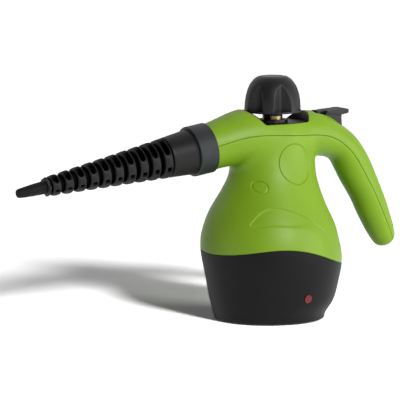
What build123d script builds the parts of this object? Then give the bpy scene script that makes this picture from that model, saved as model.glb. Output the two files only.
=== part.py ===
from build123d import *
import math
import os

# Handheld steam cleaner, millimetres.
# The origin is on the ground under the filler cap's axis, +Z up, nozzle towards -X, handle towards +X.
# The whole machine is symmetric about the plane Y = 0.

# Clearances and overruns
WALL = 2.5
FIT_GAP = 0.05
RUN_GAP = 0.3
SEAM_GAP = 0.25
OVERRUN = 5.0

# Foot ring and base
FOOT_H = 1.0
FOOT_RING_R = 43.0
FOOT_W = 6.0
FOOT_POCKET = 0.8
BASE_FLOOR = 2.6
BASE_EDGE_R = 2.5
TONGUE_H = 3.0

# Bulb-shaped body
BULB_R = 67.3
BRIDGE_Z = 179.0
BULB_TOP_SHARE = 1.095
# height, centre, half width along X, half width along Y
BULB_SHARES = (
    (0.0, -0.045, 0.804, 0.804),
    (0.0694, -0.022, 0.868, 0.868),
    (0.1517, 0.0, 0.937, 0.937),
    (0.2314, 0.004, 0.983, 0.983),
    (0.3111, -0.008, 1.017, 1.017),
    (0.3933, -0.044, 0.999, 0.999),
    (0.4730, -0.048, 0.943, 0.943),
    (0.5527, -0.056, 0.838, 0.834),
    (0.6350, -0.025, 0.723, 0.703),
    (0.7172, 0.0, 0.639, 0.594),
    (0.7943, 0.0, 0.636, 0.535),
    (0.8766, 0.0, 0.609, 0.498),
    (0.9486, 0.0, 0.535, 0.453),
    (1.0, 0.0, 0.446, 0.371),
)
# Seam between base and body: place along X, height above the ground, both in bulb radii
SEAM_SHARES = (
    (-1.3, 0.94), (-0.876, 1.035), (-0.485, 1.107), (0.0, 1.07), (0.515, 0.906), (0.876, 0.80), (1.3, 0.74),
)

# Spout
SPOUT_REACH = 72.2
SPOUT_R = 22.3
MOUTH_WALL = 1.2
NOZZLE_TILT = 9.05
# place along X, drop under the bridge, slope in nozzle tilts, half height, half width
SPOUT_SHARES = (
    (1.0, 0.401, 1.0, 1.0, 1.0),
    (0.762, 0.220, 1.30, 1.063, 1.143),
    (0.540, 0.087, 1.0, 1.179, 1.278),
    (0.277, 0.009, 0.56, 1.247, 1.368),
    (0.0, 0.0, 0.0, 1.121, 1.256),
)

# Handle
HANDLE_REACH = 135.4
GRIP_T = 17.4
GRIP_W = 19.0
TAIL_EDGE_R = 7.0
# place along X, height in bridge heights, slope in degrees, half thickness, half width
HANDLE_SHARES = (
    (0.0000, 0.9916, 0, 1.322, 1.447),
    (0.1034, 0.9944, -0.5, 1.270, 1.395),
    (0.2068, 0.9966, -2, 1.275, 1.342),
    (0.3102, 0.9935, -6, 1.280, 1.263),
    (0.4062, 0.9800, -14, 1.190, 1.137),
    (0.4874, 0.9500, -27, 1.015, 1.053),
    (0.5680, 0.9128, -40, 0.960, 1.005),
    (0.6330, 0.8480, -54, 0.994, 0.984),
    (0.6810, 0.7838, -61, 1.011, 0.963),
    (0.7319, 0.7140, -62, 0.958, 0.937),
    (0.7821, 0.6425, -64.5, 0.908, 0.905),
    (0.8264, 0.5698, -66, 0.895, 0.868),
    (0.8708, 0.4961, -66, 0.830, 0.805),
    (0.9158, 0.4257, -64, 0.745, 0.705),
    (0.9572, 0.3609, -62, 0.550, 0.545),
)
# Parting line between lower body and top cover: place along X in handle reaches, height in bridge heights
PARTING_SHARES = (
    (-0.62, 0.955), (-0.532, 0.969), (-0.295, 1.011), (-0.126, 1.0155), (0.126, 1.0055), (0.325, 0.993),
    (0.4136, 0.9765), (0.5022, 0.941), (0.5720, 0.8965), (0.6280, 0.846), (0.6920, 0.771), (0.7480, 0.704),
    (0.8035, 0.629), (0.8610, 0.543), (0.9330, 0.441), (0.9950, 0.342),
)

# Well under the cap
WELL_RISE = 12.5
WELL_R = 35.2
LINER_T = 2.0
LINER_WALL = 1.4
LINER_EDGE = 0.5

# Boiler
BOILER_R = 38.0
BOILER_WALL = 3.0
BOILER_BOTTOM = 17.0
BOILER_SPLIT = 82.0
BOILER_SHOULDER = 104.0
BOILER_CROWN = 136.0
FLANGE_R = 47.0
FLANGE_T = 4.0
GASKET_T = 1.0
BOLT_R = 1.6
BOLT_HEAD_R = 3.0
BOLT_HEAD_H = 2.4
BOLT_COUNT = 6
BOLT_SOCKET_SIDES = 6
BOILER_FOOT_R = 5.0
BOILER_FOOT_RING = 29.0
BOILER_FOOT_COUNT = 3
SCREW_R = 1.5
SCREW_HEAD_R = 3.2
SCREW_HEAD_H = 2.0
SCREW_DEPTH = 7.0

# Heating element, thermostat and thermal fuse
ELEMENT_RING = 19.0
ELEMENT_R = 3.4
ELEMENT_ARC = 300
ELEMENT_PIN_R = 1.6
ELEMENT_PIN_H = 4.0
THERMOSTAT_R = 8.0
THERMOSTAT_H = 6.0
THERMOSTAT_CAP_R = 10.0
THERMOSTAT_CAP_H = 2.0
BLADE_T = 0.8
BLADE_W = 4.0
BLADE_L = 3.0
FUSE_R = 2.1
FUSE_L = 13.0
FUSE_Z = 46.0
CLIP_T = 1.0
CLIP_H = 7.0
CLIP_EAR = 5.0

# Lamp in the base
LAMP_Z = 26.0
LAMP_X = 4.0
LAMP_R = 4.0
LAMP_PROUD = 1.0
LAMP_LIP = 1.3
LAMP_LIP_T = 1.2
BULB_LAMP_R = 2.6
BULB_LAMP_L = 9.0
LAMP_SOCKET_T = 1.0
LAMP_SOCKET_L = 6.0

# Cord inlet
INLET_Z = 16.0
INLET_R = 5.0
INLET_BORE_R = 3.2
INLET_PROUD = 2.4
INLET_LIP = 1.8
INLET_LIP_T = 1.6
CLAMP_L = 9.0
CLAMP_W = 16.0
CLAMP_H = 5.0

# Filler neck
NECK_R = 9.8
NECK_BORE_R = 7.3
NECK_STANDOUT = 6.0
NECK_BOSS_R = 14.0
NECK_BOSS_H = 5.0
NUT_R = 15.0
NUT_H = 2.4
NUT_NOTCHES = 6
NUT_NOTCH_W = 3.0

# Safety cap
CAP_R = 27.9
CAP_SHOULDER_R = 26.9
CAP_ROUND_R = 21.6
CAP_TOP_R = 11.5
CAP_H = 34.8
CAP_SHOULDER_SHARE = 0.46
CAP_ROUND_SHARE = 0.868
CAP_GAP = 9.5
CAP_RIM = 1.8
CAP_CAVITY_R = 18.5
CAP_LEDGE_T = 2.2
CAP_FLUTES = 6
CAP_FLUTE_TURN = 22
FLUTE_R = 11.0
FLUTE_DEPTH = 5.2
CAP_PRESS = 3.0
PLUG_STEM_L = 12.0
PLUG_SHOULDER_R = 9.6
PLUG_FLANGE_R = 14.5
PLUG_FLANGE_T = 3.0
PLUG_HUB_R = 7.0
PLUG_HUB_H = 8.0
PLUG_BORE_R = 3.0
SEAL_T = 1.6
DOG_COUNT = 4
DOG_W = 2.4
DOG_H = 2.4
DOG_SHARE = 0.6
CAP_SPRING_R = 10.4
CAP_SPRING_WIRE = 1.2
POPPET_R = 1.4
POPPET_HEAD_R = 2.6
POPPET_HEAD_H = 2.4
POPPET_LIFT = 1.5
POPPET_SEAT_R = 1.8
POPPET_SEAT_T = 2.0

# Steam valve, lever and trigger
VALVE_X = 32.0
VALVE_R = 7.5
VALVE_BOSS_R = 10.0
VALVE_BOSS_SHARE = 0.80
VALVE_STEM_R = 2.0
VALVE_BORE_L = 16.0
VALVE_HEAD_R = 3.6
VALVE_HEAD_T = 1.8
VALVE_SPRING_R = 4.2
VALVE_SPRING_WIRE = 0.9
VALVE_SPRING_H = 5.6
LEVER_PIVOT_X = 18.0
LEVER_DROP = 12.0
LEVER_T = 2.4
LEVER_W = 8.0
LEVER_END_X = 77.0
LEVER_EYE_R = 3.2
LEVER_PIN_R = 1.2
BRACKET_T = 2.0
PORT_R = 4.0
PORT_L = 5.0

TRIGGER_X = 54.9
TRIGGER_RISE = 5.0
TRIGGER_L = 25.3
TRIGGER_H = 17.0
TRIGGER_STEM_W = 14.0
TRIGGER_PLATE_W = 19.0
TRIGGER_EYE_R = 4.0
TRIGGER_PIN_R = 1.5
TRIGGER_ARM_W = 6.0
TRIGGER_SPRING_W = 5.0
TRIGGER_EDGE_R = 1.2
EAR_T = 2.4
EAR_L = 9.0
# outline of the stem and the thumb plate about the trigger pivot, in trigger lengths and heights
STEM_SHARES = (
    (0.038, 0.90), (0.74, 0.90), (0.735, 0.46), (0.755, 0.0), (0.85, -0.17), (0.77, -0.30),
    (0.20, -0.23), (0.038, 0.0),
)
PLATE_SHARES = (
    (0.038, 0.80), (0.038, 0.93), (0.55, 0.97), (0.74, 1.0), (0.92, 1.0), (1.0, 0.96), (1.0, 0.77),
    (0.93, 0.72), (0.70, 0.66), (0.45, 0.72),
)
ARM_SHARES = ((0.315, -0.115), (0.806, -0.115), (0.827, -0.975), (0.65, -0.975), (0.587, -0.46))
LOCK_BILL_L = 8.0
LOCK_BILL_T = 1.2
LOCK_BILL_GAP = 1.0
LOCK_STEM_T = 2.6
LOCK_STEM_GAP = 0.9
LOCK_W = 11.0
LOCK_TRAVEL = 4.0
LOCK_DROP = 12.0

# Steam pipe and outlet
PIPE_R = 2.6
PIPE_BORE_R = 1.6
PIPE_SIDE = 17.0
PIPE_BEND_R = 7.0
OUTLET_R = 11.0
OUTLET_BORE_R = 3.0
OUTLET_DISC_T = 3.0
OUTLET_IN = 14.0
OUTLET_OUT = 14.0
ORING_R = 1.1
LUG_W = 7.0
LUG_H = 2.6
LUG_T = 2.6
LUG_AT = 9.0

# Nozzle
COLLAR_R = 24.3
COLLAR_L = 19.6
COLLAR_EDGE_R = 1.2
COLLAR_STEP = 1.6
COLLAR_TURN = 45
COLLAR_LIP_L = 4.0
GUARD_R = 21.8
CONE_L = 26.6
CONE_END_R = 19.4
BAND_COUNT = 10
BAND_PITCH = 12.88
BAND_W = 8.4
BAND_FIRST_R = 18.9
BAND_LAST_R = 9.7
BAND_CROWN = 0.4
BAND_EDGE_R = 0.6
GROOVE_SHARE = 0.34
GUARD_WALL = 1.6
WINDOW_W = 5.0
WINDOW_START = 7
WINDOW_END = 66
VENT_W = 2.6
VENT_START = 117
VENT_END = 128
END_RING_GAP = 1.6
END_RING_W = 3.4
END_RING_R = 8.5
TIP_R = 6.0
TIP_END_R = 3.6
TIP_L = 29.4
TIP_EDGE = 0.8
TIP_SLEEVE_R = 4.4
TIP_SLEEVE_L = 6.0
TIP_COLLAR_L = 3.0
TIP_BORE_R = 1.4
TIP_FLATS = 8
TIP_CORNER_SHARE = 1.05
INNER_PIPE_R = 3.4
INNER_PIPE_BORE_R = 2.2

# Places worked out from the values above
BULB_H = BRIDGE_Z * BULB_TOP_SHARE - FOOT_H
WELL_Z = BRIDGE_Z + WELL_RISE
FLOOR_Z = FOOT_H + BASE_FLOOR
BIG = 2 * (HANDLE_REACH + SPOUT_REACH)
NECK_TOP = WELL_Z + NECK_STANDOUT
CAP_RIM_Z = WELL_Z + CAP_GAP
CAP_TOP_Z = CAP_RIM_Z + CAP_H
LEVER_Z = BRIDGE_Z - LEVER_DROP
TRIGGER_Z = BRIDGE_Z + TRIGGER_RISE


def rod(radius, low, high, x=0, y=0):
    """Upright cylinder between two heights."""
    return Pos(x, y, (low + high) / 2) * Cylinder(radius, high - low)


def pipe(radius, bore, low, high, x=0, y=0):
    """Upright tube between two heights."""
    return rod(radius, low, high, x, y) - rod(bore, low - OVERRUN, high + OVERRUN, x, y)


def block(x_span, y_span, z_span):
    """Box between two places on each axis."""
    spans = (x_span, y_span, z_span)
    size = [high - low for low, high in spans]
    middle = [(low + high) / 2 for low, high in spans]
    return Pos(*middle) * Box(*size)


def turned(points):
    """Solid of revolution about Z from an outline of radius and height."""
    outline = make_face(Polyline([(radius, 0, height) for radius, height in points], close=True))
    return revolve(outline, Axis.Z)


def prism(points, width):
    """Outline in the XZ plane made into a solid of the given width, centred on Y = 0."""
    outline = make_face(Polyline([(x, 0, z) for x, z in points], close=True))
    return extrude(outline, width / 2, (0, 1, 0), both=True)


def ring_of(shape, count, start=0):
    """Copies of a shape turned about Z."""
    return [Rot(0, 0, start + 360 * k / count) * shape for k in range(count)]


# Housing skins

def bulb(offset=0):
    """Body of revolution with oval upper sections, drawn in by the offset."""
    wires = []
    for height, centre, half_x, half_y in BULB_SHARES:
        plane = Plane(origin=(centre * BULB_R, 0, FOOT_H + height * BULB_H))
        section = plane * Ellipse(half_x * BULB_R - offset, half_y * BULB_R - offset)
        wires.append(section.wire())
    return Solid.make_loft(wires)


def arm(rows, offset=0):
    """Loft through ovals that stand square to a path in the XZ plane."""
    wires = []
    for x, z, slope, half_t, half_w in rows:
        turn = math.radians(slope)
        plane = Plane(origin=(x, 0, z), x_dir=(0, 1, 0), z_dir=(math.cos(turn), 0, math.sin(turn)))
        wires.append((plane * Ellipse(half_w - offset, half_t - offset)).wire())
    return Solid.make_loft(wires)


def spout_rows():
    """Ovals of the spout from its mouth to the neck of the body."""
    return [(-x * SPOUT_REACH, BRIDGE_Z - drop * SPOUT_R, slope * NOZZLE_TILT, tall * SPOUT_R,
             wide * SPOUT_R) for x, drop, slope, tall, wide in SPOUT_SHARES]


def handle_rows():
    """Ovals of the handle from the neck of the body to its tail."""
    return [(x * HANDLE_REACH, z * BRIDGE_Z, slope, thick * GRIP_T, wide * GRIP_W)
            for x, z, slope, thick, wide in HANDLE_SHARES]


def moved_end(rows, index, step):
    """The same ovals with one of them moved along its own slope."""
    x, z, slope, thick, wide = rows[index]
    turn = math.radians(slope)
    rows[index] = (x + step * math.cos(turn), z + step * math.sin(turn), slope, thick, wide)
    return rows


def nozzle_plane():
    """Frame at the spout's mouth: Z along the steam jet, X upwards, Y as the machine's."""
    turn = math.radians(NOZZLE_TILT)
    mouth = (-SPOUT_REACH, 0, BRIDGE_Z - SPOUT_SHARES[0][1] * SPOUT_R)
    return Plane(origin=mouth, x_dir=(-math.sin(turn), 0, math.cos(turn)),
                 z_dir=(-math.cos(turn), 0, -math.sin(turn)))


def skin(offset=0):
    """Spout, bulb and handle as one solid, drawn in by the offset but open at the spout's mouth."""
    if offset == 0:
        return bulb() + arm(spout_rows()) + arm(handle_rows())
    spout = arm(moved_end(spout_rows(), 0, -WALL), offset)
    handle = arm(moved_end(handle_rows(), -1, -WALL), offset)
    return bulb(offset) + spout + handle - rod(BIG, 0, FLOOR_Z)


def outer_skin():
    """Outside of the housing, with its tail and its foot rounded."""
    body = skin()
    body = body.fillet(TAIL_EDGE_R, [body.edges().sort_by(Axis.X)[-1]])
    return body.fillet(BASE_EDGE_R, [body.edges().sort_by(Axis.Z)[0]])


def above(points, lift=0):
    """Everything over a smooth line drawn in the XZ plane and carried on level past its ends."""
    line = Spline([(x, 0, z + lift) for x, z in points])
    start = line @ 0
    end = line @ 1
    roof = CAP_TOP_Z + BIG
    sides = Polyline(tuple(end), (BIG, 0, end.Z), (BIG, 0, roof), (-BIG, 0, roof), (-BIG, 0, start.Z),
                     tuple(start))
    return extrude(make_face(Curve() + [line, sides]), BIG, (0, 1, 0), both=True)


def above_seam(lift=0):
    """Everything over the wavy seam of the base."""
    return above([(x * BULB_R, z * BULB_R) for x, z in SEAM_SHARES], lift)


def above_parting(lift=0):
    """Everything over the parting line of the top cover."""
    return above([(x * HANDLE_REACH, z * BRIDGE_Z) for x, z in PARTING_SHARES], lift)


def well_cutter():
    """Upright round well that the cap stands in."""
    return rod(WELL_R, WELL_Z, CAP_TOP_Z + OVERRUN)


# Pieces of the base

def lamp_axis(shape):
    """Lay a shape made about Z along -Y at the lamp's place."""
    return Pos(LAMP_X, 0, LAMP_Z) * Rot(90, 0, 0) * shape


def inlet_axis(shape):
    """Lay a shape made about Z along +X at the cord inlet's place."""
    return Pos(0, 0, INLET_Z) * Rot(0, 90, 0) * shape


def foot_band(gap=0):
    """Flat ring under the base, from the ground into its groove."""
    centre = BULB_SHARES[0][1] * BULB_R
    return pipe(FOOT_RING_R - gap, FOOT_RING_R - FOOT_W + gap, 0, FOOT_H + FOOT_POCKET, centre)


def post_places():
    """Places of the posts that carry the boiler."""
    turns = [math.radians(360 * k / BOILER_FOOT_COUNT) for k in range(BOILER_FOOT_COUNT)]
    return [(BOILER_FOOT_RING * math.cos(turn), BOILER_FOOT_RING * math.sin(turn)) for turn in turns]


def post_top():
    """Height where the boiler's feet stand on the base's posts."""
    return FLOOR_Z + (BOILER_BOTTOM - FLOOR_Z) / 2


def base_cup(outer, inner):
    """Lower cup with its floor, posts, screw holes, foot groove and the openings for lamp and cord."""
    cup = (outer - inner) - above_seam(-SEAM_GAP)
    rebate = bulb(WALL / 2 - FIT_GAP) & block((-BIG, BIG), (-BIG, BIG), (FLOOR_Z + OVERRUN, BRIDGE_Z))
    cup -= rebate & above_seam(-SEAM_GAP - TONGUE_H)
    for x, y in post_places():
        cup += rod(BOILER_FOOT_R, FLOOR_Z - BASE_FLOOR / 2, post_top(), x, y)
        cup -= rod(SCREW_R + RUN_GAP, 0, BOILER_BOTTOM, x, y)
        cup -= rod(SCREW_HEAD_R + RUN_GAP, 0, FOOT_H + SCREW_HEAD_H, x, y)
    cup -= foot_band()
    cup -= lamp_axis(rod(LAMP_R + FIT_GAP, 0, BIG))
    cup -= inlet_axis(rod(INLET_R + FIT_GAP, 0, BIG))
    return cup


def foot_ring():
    """Rubber ring that the cleaner stands on, pressed into its groove."""
    ring = foot_band(FIT_GAP)
    return chamfer(ring.edges().group_by(Axis.Z)[0], FOOT_H / 3)


def base_screws():
    """Screws up through the base's posts into the boiler's feet."""
    screws = []
    for x, y in post_places():
        low = FOOT_H + SCREW_HEAD_H / 4
        head = rod(SCREW_HEAD_R, low, FOOT_H + SCREW_HEAD_H, x, y)
        slot = block((x - SCREW_HEAD_R, x + SCREW_HEAD_R), (y - SCREW_R / 4, y + SCREW_R / 4),
                     (low, low + SCREW_HEAD_H / 3))
        shank = rod(SCREW_R, FOOT_H + SCREW_HEAD_H, post_top() + SCREW_DEPTH, x, y)
        screws.append(head + shank - slot)
    return screws


def lamp_lens():
    """Domed lens pushed through the wall from inside, held by its lip."""
    lens = lamp_axis(rod(LAMP_R, 0, BIG)) & (bulb(-LAMP_PROUD) - bulb(WALL + LAMP_LIP_T))
    lip = lamp_axis(rod(LAMP_R + LAMP_LIP, 0, BIG)) & (bulb(WALL + FIT_GAP) - bulb(WALL + LAMP_LIP_T))
    return lens + lip


def lamp_seat():
    """Distance from the cap's axis to the inner face of the lens."""
    level = (LAMP_Z - FOOT_H) / BULB_H
    rows = BULB_SHARES
    below = max(k for k in range(len(rows) - 1) if rows[k][0] <= level)
    part = (level - rows[below][0]) / (rows[below + 1][0] - rows[below][0])
    half = rows[below][3] + part * (rows[below + 1][3] - rows[below][3])
    return half * BULB_R - WALL - LAMP_LIP_T - RUN_GAP


def lamp_bulb():
    """Small neon lamp behind the lens."""
    seat = lamp_seat()
    glass = rod(BULB_LAMP_R, seat - BULB_LAMP_L, seat - BULB_LAMP_R)
    return lamp_axis(glass + Pos(0, 0, seat - BULB_LAMP_R) * Sphere(BULB_LAMP_R))


def lamp_socket():
    """Holder of the neon lamp."""
    seat = lamp_seat() - BULB_LAMP_R
    back = seat - BULB_LAMP_L
    cup = rod(BULB_LAMP_R + LAMP_SOCKET_T, back, back + LAMP_SOCKET_L)
    return lamp_axis(cup - rod(BULB_LAMP_R + FIT_GAP, seat + BULB_LAMP_R - BULB_LAMP_L, BIG))


def cord_inlet():
    """Rubber bush in the rear wall, with a lip inside and a rounded collar outside."""
    bush = inlet_axis(rod(INLET_R, 0, BIG)) & (bulb(-INLET_PROUD) - bulb(WALL + INLET_LIP_T))
    lip = inlet_axis(rod(INLET_R + INLET_LIP, 0, BIG)) & (bulb(WALL + FIT_GAP) - bulb(WALL + INLET_LIP_T))
    return bush + lip - inlet_axis(rod(INLET_BORE_R, 0, BIG))


# Housing above the seam

def mouth_bore():
    """Round opening in the spout's mouth, a step wider than the spout inside."""
    return nozzle_plane().location * rod(SPOUT_R - MOUTH_WALL, -OUTLET_DISC_T - RUN_GAP, OVERRUN)


def body_shell(outer, inner):
    """Middle housing: bulb above the seam, lower halves of spout and handle, and a tongue into the base."""
    shell = (outer - inner) & above_seam()
    shell -= above_parting(-SEAM_GAP)
    tongue = (bulb(WALL / 2 + FIT_GAP) - bulb(WALL)) & above_seam(-TONGUE_H)
    shell += tongue - above_seam(OVERRUN)
    return shell - well_cutter() - mouth_bore()


def trigger_slot():
    """Slot in the handle's top for the trigger and its lock."""
    front = lock_rear() - LOCK_STEM_T - LOCK_TRAVEL - 2 * RUN_GAP
    rear = TRIGGER_X + max(x for x, z in STEM_SHARES) * TRIGGER_L + 2 * RUN_GAP
    side = TRIGGER_STEM_W / 2 + RUN_GAP
    return block((front, rear), (-side, side), (TRIGGER_Z - 2 * TRIGGER_EYE_R, CAP_TOP_Z))


def top_cover(outer, inner):
    """Upper housing: top halves of spout and handle, the cap's well, the trigger's slot and its ears."""
    cover = (outer - inner) & above_parting()
    cover = cover - well_cutter() - mouth_bore()
    side = TRIGGER_STEM_W / 2 + RUN_GAP + EAR_T
    ears = block((TRIGGER_X - EAR_L / 2, TRIGGER_X + EAR_L / 2), (-side, side),
                 (TRIGGER_Z - TRIGGER_EYE_R, CAP_TOP_Z))
    cover += ears & skin(WALL / 2)
    return cover - trigger_slot() - trigger_pin_rod(TRIGGER_PIN_R)


def well_liner():
    """Dark dish in the well: a floor shaped by the housing's inside, with a wall at front and rear."""
    floor = skin(WALL + FIT_GAP) & rod(WELL_R + 2 * WALL, WELL_Z - LINER_T, WELL_Z)
    ring = pipe(WELL_R - FIT_GAP, WELL_R - FIT_GAP - LINER_WALL, WELL_Z, CAP_TOP_Z)
    return floor + (ring & skin(LINER_EDGE)) - rod(NECK_R + FIT_GAP, 0, CAP_TOP_Z)


# Boiler

def bolt_places():
    """Places of the flange bolts."""
    radius = FLANGE_R - BOLT_HEAD_R - FIT_GAP
    turns = [math.radians(360 * k / BOLT_COUNT) for k in range(BOLT_COUNT)]
    return [(radius * math.cos(turn), radius * math.sin(turn)) for turn in turns]


def flange(low, high, bore):
    """Round flange with the bolt holes."""
    plate = rod(FLANGE_R, low, high)
    for x, y in bolt_places():
        plate -= rod(bore, low - OVERRUN, high + OVERRUN, x, y)
    return plate


def element_path(radius):
    """C-shaped ring of the heating element with its two cold ends turned down."""
    section = Plane.XZ * Pos(ELEMENT_RING, BOILER_BOTTOM) * Circle(radius)
    return Rot(0, 0, (360 - ELEMENT_ARC) / 2) * revolve(section, Axis.Z, ELEMENT_ARC)


def element_ends():
    """Places of the element's two ends."""
    turn = math.radians((360 - ELEMENT_ARC) / 2)
    return [(ELEMENT_RING * math.cos(side * turn), ELEMENT_RING * math.sin(side * turn)) for side in (-1, 1)]


def heating_element():
    """Tubular heater cast into the pan's floor, with a contact pin under each end."""
    coil = element_path(ELEMENT_R)
    for x, y in element_ends():
        coil += Pos(x, y, BOILER_BOTTOM) * Sphere(ELEMENT_R)
        coil += rod(ELEMENT_PIN_R, BOILER_BOTTOM - ELEMENT_R - ELEMENT_PIN_H, BOILER_BOTTOM, x, y)
    return coil


def boiler_lower():
    """Cast lower pan of the boiler with its feet and the groove for the heating element."""
    low = BOILER_BOTTOM
    high = BOILER_SPLIT
    pan = rod(BOILER_R, low, high) + flange(high - FLANGE_T, high, BOLT_R)
    wall = BOILER_R - BOILER_WALL
    floor = low + 2 * BOILER_WALL
    pan -= turned([(0, floor), (wall - BOILER_WALL, floor), (wall, floor + BOILER_WALL),
                   (wall, high + OVERRUN), (0, high + OVERRUN)])
    for x, y in post_places():
        pan += rod(BOILER_FOOT_R, post_top(), floor, x, y)
        pan -= rod(SCREW_R, 0, post_top() + SCREW_DEPTH, x, y)
    pan -= element_path(ELEMENT_R)
    for x, y in element_ends():
        pan -= Pos(x, y, low) * Sphere(ELEMENT_R)
    return pan


def boiler_gasket():
    """Flat sealing ring between the boiler's halves."""
    ring_r = BOILER_R + BOILER_WALL / 2
    return pipe(ring_r, BOILER_R - BOILER_WALL, BOILER_SPLIT, BOILER_SPLIT + GASKET_T)


def dome(radius, rise):
    """Half of a flattened ball standing on the boiler's shoulder."""
    arch = EllipticalCenterArc((0, 0), radius, rise, start_angle=0, arc_size=90)
    legs = Polyline((0, rise), (0, 0), (radius, 0))
    return Pos(0, 0, BOILER_SHOULDER) * revolve(Plane.XZ * make_face(Curve() + [arch, legs]), Axis.Z)


def boiler_upper():
    """Cast dome of the boiler with its flange and the bosses for the filler neck and the steam valve."""
    low = BOILER_SPLIT + GASKET_T
    rise = BOILER_CROWN - BOILER_SHOULDER
    wall = BOILER_R - BOILER_WALL
    top = rod(BOILER_R, low, BOILER_SHOULDER) + flange(low, low + FLANGE_T, BOLT_R) + dome(BOILER_R, rise)
    top += rod(NECK_BOSS_R, BOILER_CROWN - NECK_BOSS_H, BOILER_CROWN + BOILER_WALL / 2)
    top += rod(VALVE_BOSS_R, BOILER_SHOULDER, valve_foot(), VALVE_X) & rod(BOILER_R + BOILER_WALL, 0, BIG)
    top -= rod(wall, low - OVERRUN, BOILER_SHOULDER) + dome(wall, rise - BOILER_WALL)
    top -= rod(NECK_R, BOILER_CROWN - NECK_BOSS_H, BIG)
    top -= rod(NECK_BORE_R, BOILER_SHOULDER, BIG)
    return top - rod(PIPE_BORE_R, BOILER_SHOULDER, BIG, VALVE_X)


def flange_bolts():
    """Socket screws that clamp the boiler's halves."""
    low = BOILER_SPLIT - FLANGE_T
    high = BOILER_SPLIT + GASKET_T + FLANGE_T
    bolts = []
    for x, y in bolt_places():
        head = rod(BOLT_HEAD_R, high, high + BOLT_HEAD_H, x, y)
        socket = extrude(RegularPolygon(BOLT_R, BOLT_SOCKET_SIDES), -BOLT_HEAD_H / 2)
        head -= Pos(x, y, high + BOLT_HEAD_H) * socket
        bolts.append(head + rod(BOLT_R, low - BOLT_HEAD_H, high, x, y))
    return bolts


def thermostat():
    """Disc thermostat clipped under the middle of the pan, with its two blades."""
    top = BOILER_BOTTOM
    body = rod(THERMOSTAT_CAP_R, top - THERMOSTAT_CAP_H, top)
    body += rod(THERMOSTAT_R, top - THERMOSTAT_H, top)
    low = top - THERMOSTAT_H - BLADE_L
    for side in (-1, 1):
        middle = side * THERMOSTAT_R / 2
        body += block((middle - BLADE_T / 2, middle + BLADE_T / 2), (-BLADE_W / 2, BLADE_W / 2), (low, top))
    return body


def fuse_place():
    """Distance of the thermal fuse's axis from the boiler's axis."""
    return BOILER_R + FUSE_R + FIT_GAP


def thermal_fuse():
    """Thermal fuse lying upright against the pan's side, with its leads."""
    place = -fuse_place()
    body = rod(FUSE_R, FUSE_Z - FUSE_L / 2, FUSE_Z + FUSE_L / 2, place)
    return body + rod(FUSE_R / 4, FUSE_Z - FUSE_L, FUSE_Z + FUSE_L, place)


def fuse_clip():
    """Bent strap that holds the fuse to the pan, riveted at both ears."""
    side = FUSE_R + FIT_GAP
    high = FUSE_Z + CLIP_H / 2
    low = FUSE_Z - CLIP_H / 2
    strap = rod(side + CLIP_T, low, high, -fuse_place())
    inside = rod(side, low - OVERRUN, high + OVERRUN, -fuse_place())
    ears = pipe(BOILER_R + CLIP_T, BOILER_R + FIT_GAP, low, high)
    ears &= block((-BIG, 0), (-side - CLIP_EAR, side + CLIP_EAR), (0, BIG))
    return strap + ears - inside - rod(BOILER_R + FIT_GAP, 0, BIG)


# Filler neck and its nut

def filler_neck():
    """Brass neck from the boiler's crown up through the well."""
    return pipe(NECK_R, NECK_BORE_R, BOILER_CROWN - NECK_BOSS_H, NECK_TOP)


def neck_nut():
    """Thin slotted nut that clamps the housing to the neck."""
    nut = pipe(NUT_R, NECK_R, WELL_Z, WELL_Z + NUT_H)
    notch = block((NUT_R - NUT_NOTCH_W / 2, BIG), (-NUT_NOTCH_W / 2, NUT_NOTCH_W / 2), (0, BIG))
    for cutter in ring_of(notch, NUT_NOTCHES):
        nut -= cutter
    return nut


# Safety cap

def cap_profile():
    """Outline of the cap: nearly straight side, round shoulder and flat top."""
    shoulder = CAP_RIM_Z + CAP_SHOULDER_SHARE * CAP_H
    side = Line((CAP_R, 0, CAP_RIM_Z), (CAP_SHOULDER_R, 0, shoulder))
    round_edge = Spline((CAP_SHOULDER_R, 0, shoulder), (CAP_ROUND_R, 0, CAP_RIM_Z + CAP_ROUND_SHARE * CAP_H),
                        (CAP_TOP_R, 0, CAP_TOP_Z),
                        tangents=((CAP_SHOULDER_R - CAP_R, 0, shoulder - CAP_RIM_Z), (-1, 0, 0)))
    rest = Polyline((CAP_TOP_R, 0, CAP_TOP_Z), (0, 0, CAP_TOP_Z), (0, 0, CAP_RIM_Z), (CAP_R, 0, CAP_RIM_Z))
    return make_face(Curve() + [side, round_edge, rest])


def flute():
    """Upright round scoop over the cap's rim, closed at its top where the dome turns in."""
    return rod(FLUTE_R, CAP_RIM_Z + CAP_RIM, CAP_TOP_Z + OVERRUN, CAP_R - FLUTE_DEPTH + FLUTE_R)


def cap_ceiling():
    """Height of the ceiling inside the cap."""
    return plug_flange_top() + PLUG_HUB_H + CAP_PRESS + RUN_GAP


def cap_shell():
    """Outer cap: fluted dome with a cavity, a ledge under the plug's flange and dogs in its ceiling."""
    cap = revolve(cap_profile(), Axis.Z)
    for cutter in ring_of(flute(), CAP_FLUTES, CAP_FLUTE_TURN):
        cap -= cutter
    cap -= rod(CAP_CAVITY_R, CAP_RIM_Z + CAP_LEDGE_T, cap_ceiling())
    cap -= rod(PLUG_SHOULDER_R + RUN_GAP, CAP_RIM_Z - OVERRUN, CAP_RIM_Z + OVERRUN)
    dog_low = plug_flange_top() + DOG_H + CAP_PRESS - DOG_H * DOG_SHARE
    dog = block((PLUG_FLANGE_R - DOG_W, CAP_CAVITY_R + WALL), (-DOG_W / 2, DOG_W / 2),
                (dog_low, cap_ceiling() + WALL))
    for rib in ring_of(dog, DOG_COUNT, 180 / DOG_COUNT):
        cap += rib & rod(CAP_CAVITY_R + FIT_GAP, 0, BIG)
    return cap


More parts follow.
